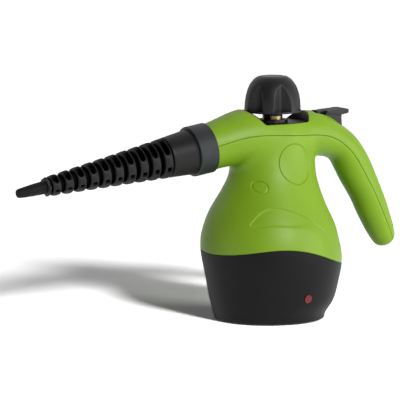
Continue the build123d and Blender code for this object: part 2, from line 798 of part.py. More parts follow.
def plug_flange_top():
    """Top of the plug's flange."""
    return CAP_RIM_Z + CAP_LEDGE_T + RUN_GAP + PLUG_FLANGE_T


def cap_plug():
    """Screw plug: stem in the neck, shoulder on the seal, flange on the cap's ledge, hub and dogs."""
    seat = NECK_TOP + SEAL_T
    top = plug_flange_top()
    plug = rod(NECK_BORE_R - FIT_GAP, NECK_TOP - PLUG_STEM_L, seat)
    plug += rod(PLUG_SHOULDER_R, seat, top)
    plug += rod(PLUG_FLANGE_R, top - PLUG_FLANGE_T, top)
    plug += rod(PLUG_HUB_R, top, top + PLUG_HUB_H)
    dog = block((PLUG_FLANGE_R - DOG_W, PLUG_FLANGE_R), (-DOG_W / 2, DOG_W / 2),
                (top - PLUG_FLANGE_T / 2, top + DOG_H))
    for rib in ring_of(dog, DOG_COUNT):
        plug += rib & rod(PLUG_FLANGE_R, 0, BIG)
    plug -= rod(PLUG_BORE_R, poppet_seat(), BIG)
    return plug - rod(POPPET_SEAT_R, 0, BIG)


def poppet_seat():
    """Height of the relief valve's seat inside the plug."""
    return NECK_TOP - PLUG_STEM_L + POPPET_SEAT_T


def cap_seal():
    """Rubber washer between the plug's shoulder and the neck."""
    return pipe(PLUG_SHOULDER_R, NECK_BORE_R - FIT_GAP / 2, NECK_TOP, NECK_TOP + SEAL_T)


def relief_poppet():
    """Relief valve's head on its seat, with its guide stem."""
    seat = poppet_seat()
    head = rod(POPPET_HEAD_R, seat, seat + POPPET_HEAD_H)
    return head + rod(POPPET_R, seat, poppet_stop() - POPPET_LIFT - RUN_GAP)


def poppet_stop():
    """Height of the bottom of the relief valve's spring stop."""
    return plug_flange_top() + PLUG_HUB_H - POPPET_SEAT_T


def relief_spring():
    """Spring that holds the relief valve shut."""
    bore = POPPET_R + 2 * FIT_GAP
    return pipe(PLUG_BORE_R - 2 * FIT_GAP, bore, poppet_seat() + POPPET_HEAD_H, poppet_stop())


def relief_stop():
    """Pierced disc pressed into the plug's hub over the relief valve's spring."""
    return pipe(PLUG_BORE_R, POPPET_R / 2, poppet_stop(), poppet_stop() + POPPET_SEAT_T)


def cap_spring():
    """Spring that lifts the cap off the plug's dogs."""
    low = plug_flange_top()
    return pipe(CAP_SPRING_R, CAP_SPRING_R - CAP_SPRING_WIRE, low, cap_ceiling())


# Steam valve and its lever

def valve_foot():
    """Height where the valve stands on the boiler's boss."""
    return BOILER_SHOULDER + (BOILER_CROWN - BOILER_SHOULDER) * VALVE_BOSS_SHARE


def valve_top():
    """Height of the valve body's top."""
    return LEVER_Z - LEVER_T / 2 - RUN_GAP - VALVE_HEAD_T - VALVE_SPRING_H


def valve_body():
    """Brass valve standing on the boiler, with a side port and the fork that carries the lever."""
    top = valve_top()
    body = rod(VALVE_R, valve_foot(), top, VALVE_X)
    body += Pos(VALVE_X, 0, port_height()) * Rot(90, 0, 0) * rod(PORT_R, 0, VALVE_R + PORT_L)
    side = LEVER_W / 2 + RUN_GAP
    fork_x = (LEVER_PIVOT_X - LEVER_EYE_R, VALVE_X)
    fork = block(fork_x, (-side - BRACKET_T, side + BRACKET_T), (top - 2 * BRACKET_T, top))
    cheek_x = (LEVER_PIVOT_X - LEVER_EYE_R, LEVER_PIVOT_X + LEVER_EYE_R)
    fork += block(cheek_x, (-side - BRACKET_T, side + BRACKET_T), (top - BRACKET_T, LEVER_Z + LEVER_EYE_R))
    fork -= block((0, BIG), (-side, side), (top, BIG))
    body += fork
    body -= lever_pin_rod(LEVER_PIN_R)
    body -= rod(VALVE_STEM_R + FIT_GAP, top - VALVE_BORE_L, BIG, VALVE_X)
    body -= rod(PIPE_BORE_R, 0, top - VALVE_BORE_L + PIPE_BORE_R, VALVE_X)
    return body - Pos(VALVE_X, 0, port_height()) * Rot(90, 0, 0) * rod(PIPE_R, 0, BIG)


def port_height():
    """Height of the valve's side port."""
    return valve_top() - VALVE_BORE_L


def lever_pin_rod(radius):
    """Round bar along the lever's pivot."""
    length = LEVER_W / 2 + RUN_GAP + BRACKET_T + LEVER_PIN_R / 2
    return Pos(LEVER_PIVOT_X, 0, LEVER_Z) * Rot(90, 0, 0) * rod(radius, -length, length)


def valve_plunger():
    """Plunger that the lever pushes down against its spring."""
    top = valve_top()
    stem = rod(VALVE_STEM_R, port_height() + VALVE_STEM_R + PIPE_R, top + VALVE_SPRING_H, VALVE_X)
    return stem + rod(VALVE_HEAD_R, top + VALVE_SPRING_H, top + VALVE_SPRING_H + VALVE_HEAD_T, VALVE_X)


def valve_spring():
    """Return spring between the valve body and the plunger's head."""
    low = valve_top()
    return pipe(VALVE_SPRING_R, VALVE_SPRING_R - VALVE_SPRING_WIRE, low, low + VALVE_SPRING_H, VALVE_X)


def valve_lever():
    """Flat lever with an eye at its pivot."""
    lever = block((LEVER_PIVOT_X, LEVER_END_X), (-LEVER_W / 2, LEVER_W / 2),
                  (LEVER_Z - LEVER_T / 2, LEVER_Z + LEVER_T / 2))
    lever += Pos(LEVER_PIVOT_X, 0, LEVER_Z) * Rot(90, 0, 0) * rod(LEVER_EYE_R, -LEVER_W / 2, LEVER_W / 2)
    return lever - lever_pin_rod(LEVER_PIN_R + FIT_GAP)


# Trigger and its lock

def about_trigger(rows):
    """Trigger outline placed about its pivot."""
    return [(TRIGGER_X + x * TRIGGER_L, TRIGGER_Z + z * TRIGGER_H) for x, z in rows]


def trigger_axis(shape):
    """Lay a shape made about Z along Y at the trigger's pivot."""
    return Pos(TRIGGER_X, 0, TRIGGER_Z) * Rot(90, 0, 0) * shape


def trigger_pin_rod(radius):
    """Round bar along the trigger's pivot."""
    length = TRIGGER_STEM_W / 2 + RUN_GAP + EAR_T
    return trigger_axis(rod(radius, -length, length))


def trigger():
    """Thumb plate on a wedge-shaped stem, with its pivot eye and the arm that reaches the lever."""
    lever_top = LEVER_Z + LEVER_T / 2 + RUN_GAP
    stem = prism(about_trigger(STEM_SHARES), TRIGGER_STEM_W)
    plate = prism(about_trigger(PLATE_SHARES), TRIGGER_PLATE_W)
    plate = plate.fillet(TRIGGER_EDGE_R, plate.edges().filter_by(Axis.Y).sort_by(Axis.X)[-2:])
    reach = prism(about_trigger(ARM_SHARES), TRIGGER_ARM_W) & rod(BIG, lever_top, BIG)
    eye = trigger_axis(rod(TRIGGER_EYE_R, -TRIGGER_STEM_W / 2, TRIGGER_STEM_W / 2))
    half = TRIGGER_SPRING_W / 2 + RUN_GAP
    coil_room = trigger_axis(rod(TRIGGER_EYE_R + RUN_GAP, -half, half))
    return stem + plate + reach + eye - coil_room - trigger_pin_rod(TRIGGER_PIN_R + FIT_GAP)


def trigger_spring():
    """Torsion spring about the trigger's pin."""
    half = TRIGGER_SPRING_W / 2
    return trigger_axis(pipe(TRIGGER_EYE_R - RUN_GAP, TRIGGER_PIN_R + RUN_GAP, -half, half))


def lock_rear():
    """Rear face of the lock's stem, clear of the trigger's eye."""
    return TRIGGER_X - TRIGGER_EYE_R - LOCK_STEM_GAP


def trigger_lock():
    """Sliding lock before the trigger: a thin sharp bill on a stem that fills the slot's width."""
    top = TRIGGER_Z + PLATE_SHARES[1][1] * TRIGGER_H
    low = top - LOCK_BILL_T
    rear = TRIGGER_X + PLATE_SHARES[0][0] * TRIGGER_L - LOCK_BILL_GAP
    stem_front = lock_rear() - LOCK_STEM_T
    tip = rear - LOCK_BILL_L
    bill = [(tip, top), (tip, top - LOCK_BILL_T / 3), (stem_front, low - LOCK_BILL_T),
            (lock_rear(), low - LOCK_BILL_T), (lock_rear(), low), (rear, low), (rear, top)]
    side = TRIGGER_STEM_W / 2
    stem = block((stem_front, lock_rear()), (-side, side), (top - LOCK_DROP, low - LOCK_BILL_T))
    return prism(bill, LOCK_W) + stem


# Steam pipe and outlet

def pipe_route():
    """Centre line from the valve's port, past the filler neck, to the outlet in the spout."""
    plane = nozzle_plane()
    inlet = Vector(VALVE_X, -VALVE_R - PORT_L, port_height())
    corner = Vector(VALVE_X, -PIPE_SIDE, port_height())
    end = plane.origin - plane.z_dir * OUTLET_IN
    lead = plane.origin - plane.z_dir * (OUTLET_IN + 2 * PIPE_BEND_R)
    flank = Vector(lead.X + PIPE_SIDE, -PIPE_SIDE, lead.Z)
    return FilletPolyline(inlet, corner, flank, lead, end, radius=PIPE_BEND_R / 2)


def steam_pipe():
    """Bent tube along the route."""
    route = pipe_route()
    start = Plane(origin=route @ 0, z_dir=route % 0)
    return sweep(start * Circle(PIPE_R), route) - sweep(start * Circle(PIPE_BORE_R), route)


def sector(radius, low, high, span):
    """Slice of a cylinder about Z, centred on the X axis."""
    side = BIG * math.tan(math.radians(span / 2))
    wedge = make_face(Polyline((0, 0), (BIG, -side), (BIG, side), close=True))
    return rod(radius, low, high) & extrude(Plane.XY.offset(low) * wedge, high - low)


def lug_bar(radius, width, low):
    """Straight-sided bar across the spigot with rounded ends: two bayonet lugs, or the way in for them."""
    return rod(radius, low, LUG_AT) & block((-BIG, BIG), (-width / 2, width / 2), (low, LUG_AT))


def outlet_spigot():
    """Steam outlet: disc in the spout's mouth, spigot with two bayonet lugs and a groove for the seal."""
    body = rod(SPOUT_R - MOUTH_WALL - FIT_GAP, -OUTLET_DISC_T, 0)
    body += rod(OUTLET_R, 0, OUTLET_OUT)
    body += rod(PIPE_R + WALL, -OUTLET_IN, -OUTLET_DISC_T)
    body -= pipe(BIG, OUTLET_R - ORING_R, oring_at() - ORING_R, oring_at() + ORING_R)
    body += lug_bar(OUTLET_R + LUG_H, LUG_W, LUG_AT - LUG_T)
    body -= rod(OUTLET_BORE_R, -OUTLET_DISC_T, OUTLET_OUT + OVERRUN)
    body -= rod(PIPE_R, -OUTLET_IN - OVERRUN, -OUTLET_DISC_T)
    return nozzle_plane().location * body


def oring_at():
    """Place of the seal's groove along the spigot."""
    return (LUG_AT + OUTLET_OUT) / 2


def outlet_seal():
    """Round seal in the spigot's groove."""
    ring = revolve(Plane.XZ * Pos(OUTLET_R, oring_at()) * Circle(ORING_R), Axis.Z)
    return nozzle_plane().location * ring


# Nozzle

def nozzle_collar():
    """Twist collar: a keyed web that catches the spigot's lugs, room for the lugs and the seal's bore."""
    collar = rod(COLLAR_R, RUN_GAP, COLLAR_L)
    collar = collar.fillet(COLLAR_EDGE_R, [collar.edges().sort_by(Axis.Z)[-1]])
    web_top = LUG_AT - LUG_T - RUN_GAP
    lug_r = OUTLET_R + LUG_H + RUN_GAP
    room = rod(OUTLET_R + FIT_GAP, -OVERRUN, COLLAR_L) + rod(lug_r, web_top, LUG_AT + RUN_GAP)
    room += rod(OUTLET_R + ORING_R + FIT_GAP, LUG_AT, COLLAR_L)
    room += rod(GUARD_R - COLLAR_STEP, COLLAR_L - COLLAR_LIP_L, COLLAR_L + OVERRUN)
    room += Rot(0, 0, -COLLAR_TURN) * lug_bar(lug_r, LUG_W + 2 * RUN_GAP, -OVERRUN)
    return nozzle_plane().location * (collar - room)


def band_radius(index):
    """Outer radius of one band of the guard."""
    return BAND_FIRST_R + (BAND_LAST_R - BAND_FIRST_R) * index / (BAND_COUNT - 1)


def band_middle(index):
    """Place of one band's middle along the nozzle."""
    return COLLAR_L + CONE_L + (BAND_PITCH - BAND_W) / 4 + BAND_W / 2 + BAND_PITCH * index


def groove_radius(radius):
    """Radius of the groove beside a band or a cone of the given radius."""
    return radius * (1 - GROOVE_SHARE)


def guard_outline():
    """Outer outline of the guard from the collar to its end ring: cone, bands with grooves between, ring."""
    seat = COLLAR_L - COLLAR_LIP_L + FIT_GAP
    start = COLLAR_L + FIT_GAP
    slope = (BAND_FIRST_R - BAND_LAST_R) / (BAND_PITCH * (BAND_COUNT - 1))
    points = [(GUARD_R - COLLAR_STEP, seat), (GUARD_R - COLLAR_STEP, start), (GUARD_R, start),
              (CONE_END_R, COLLAR_L + CONE_L), (groove_radius(CONE_END_R), COLLAR_L + CONE_L)]
    for index in range(BAND_COUNT):
        middle = band_middle(index)
        radius = band_radius(index)
        low_r = radius + slope * BAND_W / 2
        high_r = radius - slope * BAND_W / 2
        low = middle - BAND_W / 2
        high = middle + BAND_W / 2
        points += [(groove_radius(radius), low), (low_r - BAND_EDGE_R, low), (low_r, low + BAND_EDGE_R),
                   (radius + BAND_CROWN, middle), (high_r, high - BAND_EDGE_R), (high_r - BAND_EDGE_R, high),
                   (groove_radius(radius), high)]
    ring = guard_end() - END_RING_W
    points += [(groove_radius(BAND_LAST_R), ring), (END_RING_R - BAND_EDGE_R, ring),
               (END_RING_R, ring + BAND_EDGE_R), (END_RING_R, guard_end() - BAND_EDGE_R),
               (END_RING_R - BAND_EDGE_R, guard_end())]
    return points


def guard_end():
    """Place of the guard's end face along the nozzle."""
    return band_middle(BAND_COUNT - 1) + BAND_W / 2 + END_RING_GAP + END_RING_W


def guard_bore():
    """Inner outline of the guard: wide behind the cone, then a long taper and the tip's socket."""
    seat = COLLAR_L - COLLAR_LIP_L + FIT_GAP
    first = groove_radius(BAND_FIRST_R) - GUARD_WALL
    last = groove_radius(BAND_LAST_R) - GUARD_WALL
    socket = guard_end() - TIP_SLEEVE_L
    root = GUARD_R - COLLAR_STEP - GUARD_WALL
    return [(TIP_SLEEVE_R, guard_end()), (TIP_SLEEVE_R, socket), (last, socket),
            (last, band_middle(BAND_COUNT - 1)), (first, COLLAR_L + CONE_L), (root, COLLAR_L), (root, seat)]


def opening(middle, width, start, end):
    """Slot through one band, wrapped about the nozzle between two turns from its upper side."""
    middle_turn = Rot(0, 0, (start + end) / 2)
    slot = middle_turn * sector(GUARD_R + OVERRUN, middle - width / 2, middle + width / 2, end - start)
    return slot - rod(INNER_PIPE_R + FIT_GAP, 0, BIG)


def window(index, side):
    """Round-ended slot high on one side of a band, leaving a bridge at the top."""
    middle = band_middle(index)
    round_turn = math.degrees(WINDOW_W / 2 / band_radius(index))
    start = WINDOW_START + round_turn
    end = WINDOW_END - round_turn
    slot = opening(middle, WINDOW_W, start, end)
    for turn in (start, end):
        bar = Rot(0, 90, 0) * rod(WINDOW_W / 2, INNER_PIPE_R + WALL, GUARD_R)
        slot += Pos(0, 0, middle) * Rot(0, 0, turn) * bar
    return slot if side > 0 else slot.mirror(Plane.XZ)


def nozzle_guard():
    """Ribbed heat guard: a hollow taper with raised bands, each with windows above and vents below."""
    guard = turned(guard_outline() + guard_bore())
    for index in range(BAND_COUNT):
        for side in (-1, 1):
            vent = opening(band_middle(index), VENT_W, VENT_START, VENT_END)
            guard -= window(index, side)
            guard -= vent if side > 0 else vent.mirror(Plane.XZ)
    return nozzle_plane().location * guard


def nozzle_pipe():
    """Steam pipe inside the guard, flanged where the collar holds it."""
    seat = COLLAR_L - COLLAR_LIP_L + FIT_GAP
    flange_r = GUARD_R - COLLAR_STEP - GUARD_WALL - FIT_GAP
    body = rod(flange_r, seat, seat + GUARD_WALL)
    body += rod(INNER_PIPE_R, seat, guard_end() - TIP_SLEEVE_L)
    return nozzle_plane().location * (body - rod(INNER_PIPE_BORE_R, 0, BIG))


def nozzle_tip():
    """Jet tip: short collar, flat-sided taper and a sleeve in the guard's end, bored through."""
    start = guard_end()
    end = start + TIP_L
    taper = turned([(0, start), (TIP_R, start), (TIP_R, start + TIP_COLLAR_L), (TIP_END_R, end - TIP_EDGE),
                    (TIP_END_R - TIP_EDGE, end), (0, end)])
    wide = Plane.XY.offset(start + TIP_COLLAR_L) * RegularPolygon(TIP_R * TIP_CORNER_SHARE, TIP_FLATS)
    narrow = Plane.XY.offset(end) * RegularPolygon(TIP_END_R * TIP_CORNER_SHARE, TIP_FLATS)
    flats = loft([wide, narrow]) + rod(TIP_R, start, start + TIP_COLLAR_L)
    body = (taper & flats) + rod(TIP_SLEEVE_R, start - TIP_SLEEVE_L, start)
    return nozzle_plane().location * (body - rod(TIP_BORE_R, 0, BIG))


# Electrical pieces inside the base

def terminal_block():
    """Terminal block on the floor between the cord inlet and the boiler."""
    front = BOILER_FOOT_RING + BOILER_FOOT_R + RUN_GAP
    return block((front, front + CLAMP_L), (-CLAMP_W / 2, CLAMP_W / 2), (FLOOR_Z, FLOOR_Z + CLAMP_H))


def build():
    """All pieces by node name."""
    outer = outer_skin()
    inner = skin(WALL)
    return {
        "base_cup": base_cup(outer, inner),
        "foot_ring": foot_ring(),
        "base_screws": base_screws(),
        "lamp_lens": lamp_lens(),
        "lamp_bulb": lamp_bulb(),
        "lamp_socket": lamp_socket(),
        "cord_inlet": cord_inlet(),
        "terminal_block": terminal_block(),
        "body_shell": body_shell(outer, inner),
        "top_cover": top_cover(outer, inner),
        "well_liner": well_liner(),
        "boiler_lower": boiler_lower(),
        "boiler_gasket": boiler_gasket(),
        "boiler_upper": boiler_upper(),
        "flange_bolts": flange_bolts(),
        "heating_element": heating_element(),
        "thermostat": thermostat(),
        "thermal_fuse": thermal_fuse(),
        "fuse_clip": fuse_clip(),
        "filler_neck": filler_neck(),
        "neck_nut": neck_nut(),
        "cap_shell": cap_shell(),
        "cap_plug": cap_plug(),
        "cap_seal": cap_seal(),
        "cap_spring": cap_spring(),
        "relief_poppet": relief_poppet(),
        "relief_spring": relief_spring(),
        "relief_stop": relief_stop(),
        "valve_body": valve_body(),
        "valve_plunger": valve_plunger(),
        "valve_spring": valve_spring(),
        "valve_lever": valve_lever(),
        "lever_pin": lever_pin_rod(LEVER_PIN_R),
        "trigger": trigger(),
        "trigger_pin": trigger_pin_rod(TRIGGER_PIN_R),
        "trigger_spring": trigger_spring(),
        "trigger_lock": trigger_lock(),
        "steam_pipe": steam_pipe(),
        "outlet_spigot": outlet_spigot(),
        "outlet_seal": outlet_seal(),
        "nozzle_collar": nozzle_collar(),
        "nozzle_guard": nozzle_guard(),
        "nozzle_pipe": nozzle_pipe(),
        "nozzle_tip": nozzle_tip(),
    }


os.makedirs("parts", exist_ok=True)
for name, shape in build().items():
    if isinstance(shape, list):
        shape = Compound(children=shape)
    export_step(shape, f"parts/{name}.step")
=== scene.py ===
import math

import bpy
import numpy as np
from mathutils import Matrix, Vector


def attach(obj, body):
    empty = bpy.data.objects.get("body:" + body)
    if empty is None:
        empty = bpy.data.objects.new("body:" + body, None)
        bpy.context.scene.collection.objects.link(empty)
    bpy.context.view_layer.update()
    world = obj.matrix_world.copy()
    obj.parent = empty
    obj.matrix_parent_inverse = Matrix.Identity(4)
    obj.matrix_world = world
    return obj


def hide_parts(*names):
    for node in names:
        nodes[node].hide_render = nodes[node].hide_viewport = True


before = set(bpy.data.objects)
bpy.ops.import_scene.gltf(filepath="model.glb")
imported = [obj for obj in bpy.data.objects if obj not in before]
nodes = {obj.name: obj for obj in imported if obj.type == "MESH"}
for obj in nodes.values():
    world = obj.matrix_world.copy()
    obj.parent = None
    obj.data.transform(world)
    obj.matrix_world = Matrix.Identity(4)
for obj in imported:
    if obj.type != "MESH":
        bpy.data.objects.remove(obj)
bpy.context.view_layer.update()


# Camera
# A long lens stands four metres away, a little above the cleaner and to its left front, as in a catalogue picture.
# The photograph shows 1.03 pixels to a millimetre, with the foot of the cap's axis at pixel (272, 317.5).
VIEW_AZIMUTH = math.radians(-29.0)
VIEW_ELEVATION = math.radians(7.3)
VIEW_DISTANCE = 4.0
PIXELS = 400
PIXELS_PER_METRE = 1030.0
AXIS_FOOT = (272.0, 317.5)
SENSOR = 36.0
CLIP_END = 100.0


def view_vectors(azimuth, elevation):
    """Right, up and backward unit vectors of a view: azimuth turns about Z from looking along +Y."""
    right = Vector((math.cos(azimuth), math.sin(azimuth), 0.0))
    back = Vector((math.sin(azimuth) * math.cos(elevation), -math.cos(azimuth) * math.cos(elevation),
                   math.sin(elevation)))
    return right, back.cross(right), back


def add_object(name, data):
    """Put an object that holds the given data into the scene."""
    made = bpy.data.objects.new(name, data)
    bpy.context.scene.collection.objects.link(made)
    return made


right, up, back = view_vectors(VIEW_AZIMUTH, VIEW_ELEVATION)
middle = PIXELS / 2
camera_data = bpy.data.cameras.new("camera")
camera_data.sensor_fit = "HORIZONTAL"
camera_data.sensor_width = SENSOR
camera_data.lens = SENSOR * PIXELS_PER_METRE * VIEW_DISTANCE / PIXELS
camera_data.clip_end = CLIP_END
camera = add_object("camera", camera_data)
aim = right * (middle - AXIS_FOOT[0]) / PIXELS_PER_METRE + up * (AXIS_FOOT[1] - middle) / PIXELS_PER_METRE
turn = Matrix((right, up, back)).transposed()
camera.matrix_world = Matrix.Translation(aim + back * VIEW_DISTANCE) @ turn.to_4x4()
bpy.context.scene.camera = camera
bpy.context.scene.view_settings.view_transform = "Standard"


# Studio floor and lights
# A matt white table runs back far behind the cleaner. One broad soft light stands to the right of the camera and
# throws the shadow back to the left. A strong soft box on the right and a weak one on the left give the satin sheen.
FLOOR_SPAN = 60.0
FLOOR_WHITE = 0.60
FLOOR_SEEN = 3.3
ROOM_LIGHT = 0.028
WALL_LIGHT = 0.90
WALL_RISE = 0.45
WALL_EDGE = (-0.1, 0.8)
LAMP_AIM = Vector((0.0, 0.0, 0.12))
LAMP_AWAY = 1.6


class Shade:
    """One socket of a material's nodes. Sums, differences and products of it add Math nodes."""

    def __init__(self, tree, socket=None):
        self.tree = tree
        self.socket = socket

    def node(self, kind, settings, sockets, output=0):
        """Add a shader node of a type: its settings are set first, then its sockets get numbers or links."""
        made = self.tree.nodes.new("ShaderNode" + kind)
        for name, value in settings.items():
            setattr(made, name, value)
        for name, value in sockets.items():
            if isinstance(value, Shade):
                self.tree.links.new(value.socket, made.inputs[name])
            else:
                made.inputs[name].default_value = value
        return Shade(self.tree, made.outputs[output]) if made.outputs else None

    def maths(self, operation, first, second):
        """Add a Math node."""
        return self.node("Math", {"operation": operation}, {0: first, 1: second})

    def __add__(self, other):
        return self.maths("ADD", self, other)

    def __radd__(self, other):
        return self.maths("ADD", other, self)

    def __sub__(self, other):
        return self.maths("SUBTRACT", self, other)

    def __rsub__(self, other):
        return self.maths("SUBTRACT", other, self)

    def __mul__(self, other):
        return self.maths("MULTIPLY", self, other)

    def __rmul__(self, other):
        return self.maths("MULTIPLY", other, self)

    def step(self, low, high):
        """0 below low, 1 above high and a smooth rise between."""
        return self.node("MapRange", {"interpolation_type": "SMOOTHSTEP"},
                         {"Value": self, "From Min": low, "From Max": high})


def empty_material(name):
    """A material with no nodes yet, and the wrapper that adds them."""
    material = bpy.data.materials.new(name)
    material.use_nodes = True
    material.node_tree.nodes.clear()
    return material, Shade(material.node_tree)


def rays(shade, *kinds):
    """1 for rays of the given kinds and 0 for all others."""
    return sum(shade.node("LightPath", {}, {}, kind) for kind in kinds).step(0.0, 1.0)


def make_floor():
    """Flat square of the floor's span: matt white to the light, and paler to the camera, in mirrors and in glass."""
    half = FLOOR_SPAN / 2
    mesh = bpy.data.meshes.new("studio_floor")
    mesh.from_pydata([(-half, -half, 0), (half, -half, 0), (half, half, 0), (-half, half, 0)], [], [(0, 1, 2, 3)])
    floor = add_object("studio_floor", mesh)
    material, shade = empty_material("studio_floor")
    seen = rays(shade, "Is Camera Ray", "Is Glossy Ray", "Is Transmission Ray")
    white = FLOOR_WHITE + seen * (FLOOR_SEEN - FLOOR_WHITE)
    matt = shade.node("BsdfDiffuse", {}, {"Color": white})
    shade.node("OutputMaterial", {}, {"Surface": matt})
    mesh.materials.append(material)


def toward(turn_right, rise):
    """Unit vector from the cleaner to a light that is turned right from the camera and raised by two angles."""
    return view_vectors(VIEW_AZIMUTH + turn_right, rise)[2]


def make_room():
    """World: white to the camera and through glass, a dim even glow as light, and in mirrors a bright wall that
    stands behind the cleaner as the camera sees it."""
    world = bpy.data.worlds.new("studio_room")
    world.use_nodes = True
    world.node_tree.nodes.clear()
    shade = Shade(world.node_tree)
    seen = rays(shade, "Is Camera Ray", "Is Transmission Ray")
    way = shade.node("TexCoord", {}, {}, "Generated")
    behind = shade.node("VectorMath", {"operation": "DOT_PRODUCT"},
                        {0: way, 1: toward(math.pi, WALL_RISE)}, "Value")
    wall = behind.step(*WALL_EDGE) * rays(shade, "Is Glossy Ray") * WALL_LIGHT
    strength = ROOM_LIGHT + wall + seen
    light = shade.node("Background", {}, {"Color": (1, 1, 1, 1), "Strength": strength})
    shade.node("OutputWorld", {}, {"Surface": light})
    bpy.context.scene.world = world


def make_lamp(name, kind, turn_right, rise, power, **sizes):
    """Light that faces the middle of the cleaner, turned right from the camera and raised. The key light is a sun,
    so that the far floor is lit as evenly as the near one, and the soft boxes are square."""
    data = bpy.data.lights.new(name, kind)
    data.energy = power
    for size, value in sizes.items():
        setattr(data, size, value)
    way = toward(math.radians(turn_right), math.radians(rise))
    turn = way.to_track_quat("Z", "Y").to_matrix()
    add_object(name, data).matrix_world = Matrix.Translation(LAMP_AIM + way * LAMP_AWAY) @ turn.to_4x4()


make_floor()
make_room()
make_lamp("key_light", "SUN", turn_right=30.0, rise=27.0, power=2.05, angle=math.radians(10.0))
make_lamp("right_box", "AREA", turn_right=74.0, rise=9.0, power=10.5, size=0.9)
make_lamp("left_box", "AREA", turn_right=-66.0, rise=4.0, power=1.8, size=0.6)


# Base cup
# The lower housing is injection moulded in charcoal ABS with a fine sparked grain. The boiler's posts, the lamp's
# hole and the cord's hole are moulded in. Zinc-plated screws go up through the posts into the boiler, and a soft
# rubber ring is pressed into the groove underneath.
CHARCOAL = (0.0105, 0.0105, 0.0110)
RUBBER = (0.018, 0.018, 0.018)
ZINC = (0.56, 0.56, 0.57)
CLOUD_SCALE = 28.0
CLOUD_EDGE = (0.3, 0.7)
FINE_SHARE = 0.45
GLOSS_DRIFT = 0.05
# Painted shade: the unlit black that grooves, openings and bores turn to, and the depths over which they turn to it
PAINTED_SHADE_BLACK = (0.006, 0.006, 0.006, 1)
PAINTED_SHADE_EDGE = (0.04, 0.40)
DULL_SCALE = 60.0
DULL_EDGE = (0.35, 0.65)
DULL_SHARE = 0.8
DULL_DRIFT = 0.2
TURNED_SCALE = 700.0


def plastic(name, colour, roughness, grain=0.0004, grain_height=0.00002, cloud=0.08, shine=0.5, painted_shade=False):
    """Moulded plastic: a broad faint cloud in colour and gloss, and a fine pebbled grain.
    Colour = base x (1 +- cloud), by a broad noise. Roughness = base + drift x the broad and the fine noise. Bump =
    cells at the grain's pitch and half the fine noise. Shine sets how strongly the face mirrors.
    Where asked, the piece also turns to unlit black by its points' own depth in a groove or an opening: painted shade
    in recesses."""
    material, shade = empty_material(name)
    place = shade.node("TexCoord", {}, {}, "Object")
    broad = shade.node("TexNoise", {}, {
        "Vector": place, "Scale": CLOUD_SCALE, "Detail": 3.0, "Roughness": 0.55})
    fine = shade.node("TexNoise", {}, {"Vector": place, "Scale": FINE_SHARE / grain, "Detail": 2.0})
    cells = shade.node("TexVoronoi", {"feature": "SMOOTH_F1"}, {"Vector": place, "Scale": 1.0 / grain})
    dark = tuple(part * (1 - cloud) for part in colour) + (1,)
    pale = tuple(min(part * (1 + cloud), 1.0) for part in colour) + (1,)
    tint = shade.node("Mix", {"data_type": "RGBA"}, {0: broad.step(*CLOUD_EDGE), 6: dark, 7: pale}, 2)
    gloss = roughness + (broad - 0.5) * GLOSS_DRIFT + (fine - 0.5) * GLOSS_DRIFT
    grained = shade.node("Bump", {}, {
        "Height": cells + fine * 0.5, "Distance": grain_height, "Strength": 1.0})
    skin = shade.node("BsdfPrincipled", {}, {
        "Base Color": tint, "Roughness": gloss, "Normal": grained, "Specular IOR Level": shine})
    # Painted shade: an unlit black mixed in by each point's depth attribute, so that recesses look shaded
    if painted_shade:
        depth = shade.node("Attribute", {"attribute_name": "painted_shade"}, {}, "Fac")
        painted_black = shade.node("BsdfPrincipled", {}, {
            "Base Color": PAINTED_SHADE_BLACK, "Roughness": 1.0, "Specular IOR Level": 0.0})
        skin = shade.node("MixShader", {}, {0: depth.step(*PAINTED_SHADE_EDGE), 1: skin, 2: painted_black})
    shade.node("OutputMaterial", {}, {"Surface": skin})
    return material


def metal(name, colour, roughness, grain, grain_height, turned=0.0):
    """Bare metal: colour and gloss drift with a broad noise. Bump = noise at the grain's pitch, and on turned pieces
    also fine rings along Z, at the given share."""
    material, shade = empty_material(name)
    place = shade.node("TexCoord", {}, {}, "Object")
    broad = shade.node("TexNoise", {}, {"Vector": place, "Scale": DULL_SCALE, "Detail": 3.0})
    fine = shade.node("TexNoise", {}, {"Vector": place, "Scale": 1.0 / grain, "Detail": 3.0})
    rings = shade.node("TexWave", {"bands_direction": "Z"}, {"Vector": place, "Scale": TURNED_SCALE})
    dull, bright = tuple(part * DULL_SHARE for part in colour) + (1,), colour + (1,)
    tint = shade.node("Mix", {"data_type": "RGBA"}, {0: broad.step(*DULL_EDGE), 6: dull, 7: bright}, 2)
    grained = shade.node("Bump", {}, {
        "Height": fine + rings * turned, "Distance": grain_height, "Strength": 1.0})
    skin = shade.node("BsdfPrincipled", {}, {
        "Base Color": tint, "Metallic": 1.0, "Roughness": roughness + (broad - 0.5) * DULL_DRIFT, "Normal": grained})
    shade.node("OutputMaterial", {}, {"Surface": skin})
    return material


def dress(material, *names):
    """Give CAD nodes their finish."""
    for name in names:
        piece = nodes[name]
        piece.data.materials.clear()
        piece.data.materials.append(material)


charcoal = plastic("charcoal_plastic", CHARCOAL, roughness=0.50, grain=0.00042, grain_height=0.000035, shine=0.12)
rubber = plastic("soft_rubber", RUBBER, roughness=0.78, grain=0.0005, grain_height=0.00003)
zinc = metal("zinc_steel", ZINC, roughness=0.34, grain=0.0008, grain_height=0.00001)
dress(charcoal, "base_cup")
dress(rubber, "foot_ring")
dress(zinc, "base_screws")


# Boiler
# Two pressure-cast aluminium halves are clamped over a rubber gasket by six socket screws. The upper half ends in the
# threaded boss of the filler neck. Cast skin is dull and coarsely grained.
CAST = (0.60, 0.60, 0.61)
cast = metal("cast_aluminium", CAST, roughness=0.52, grain=0.0011, grain_height=0.00006)
dress(cast, "boiler_lower", "boiler_upper")
dress(rubber, "boiler_gasket")
dress(zinc, "flange_bolts")


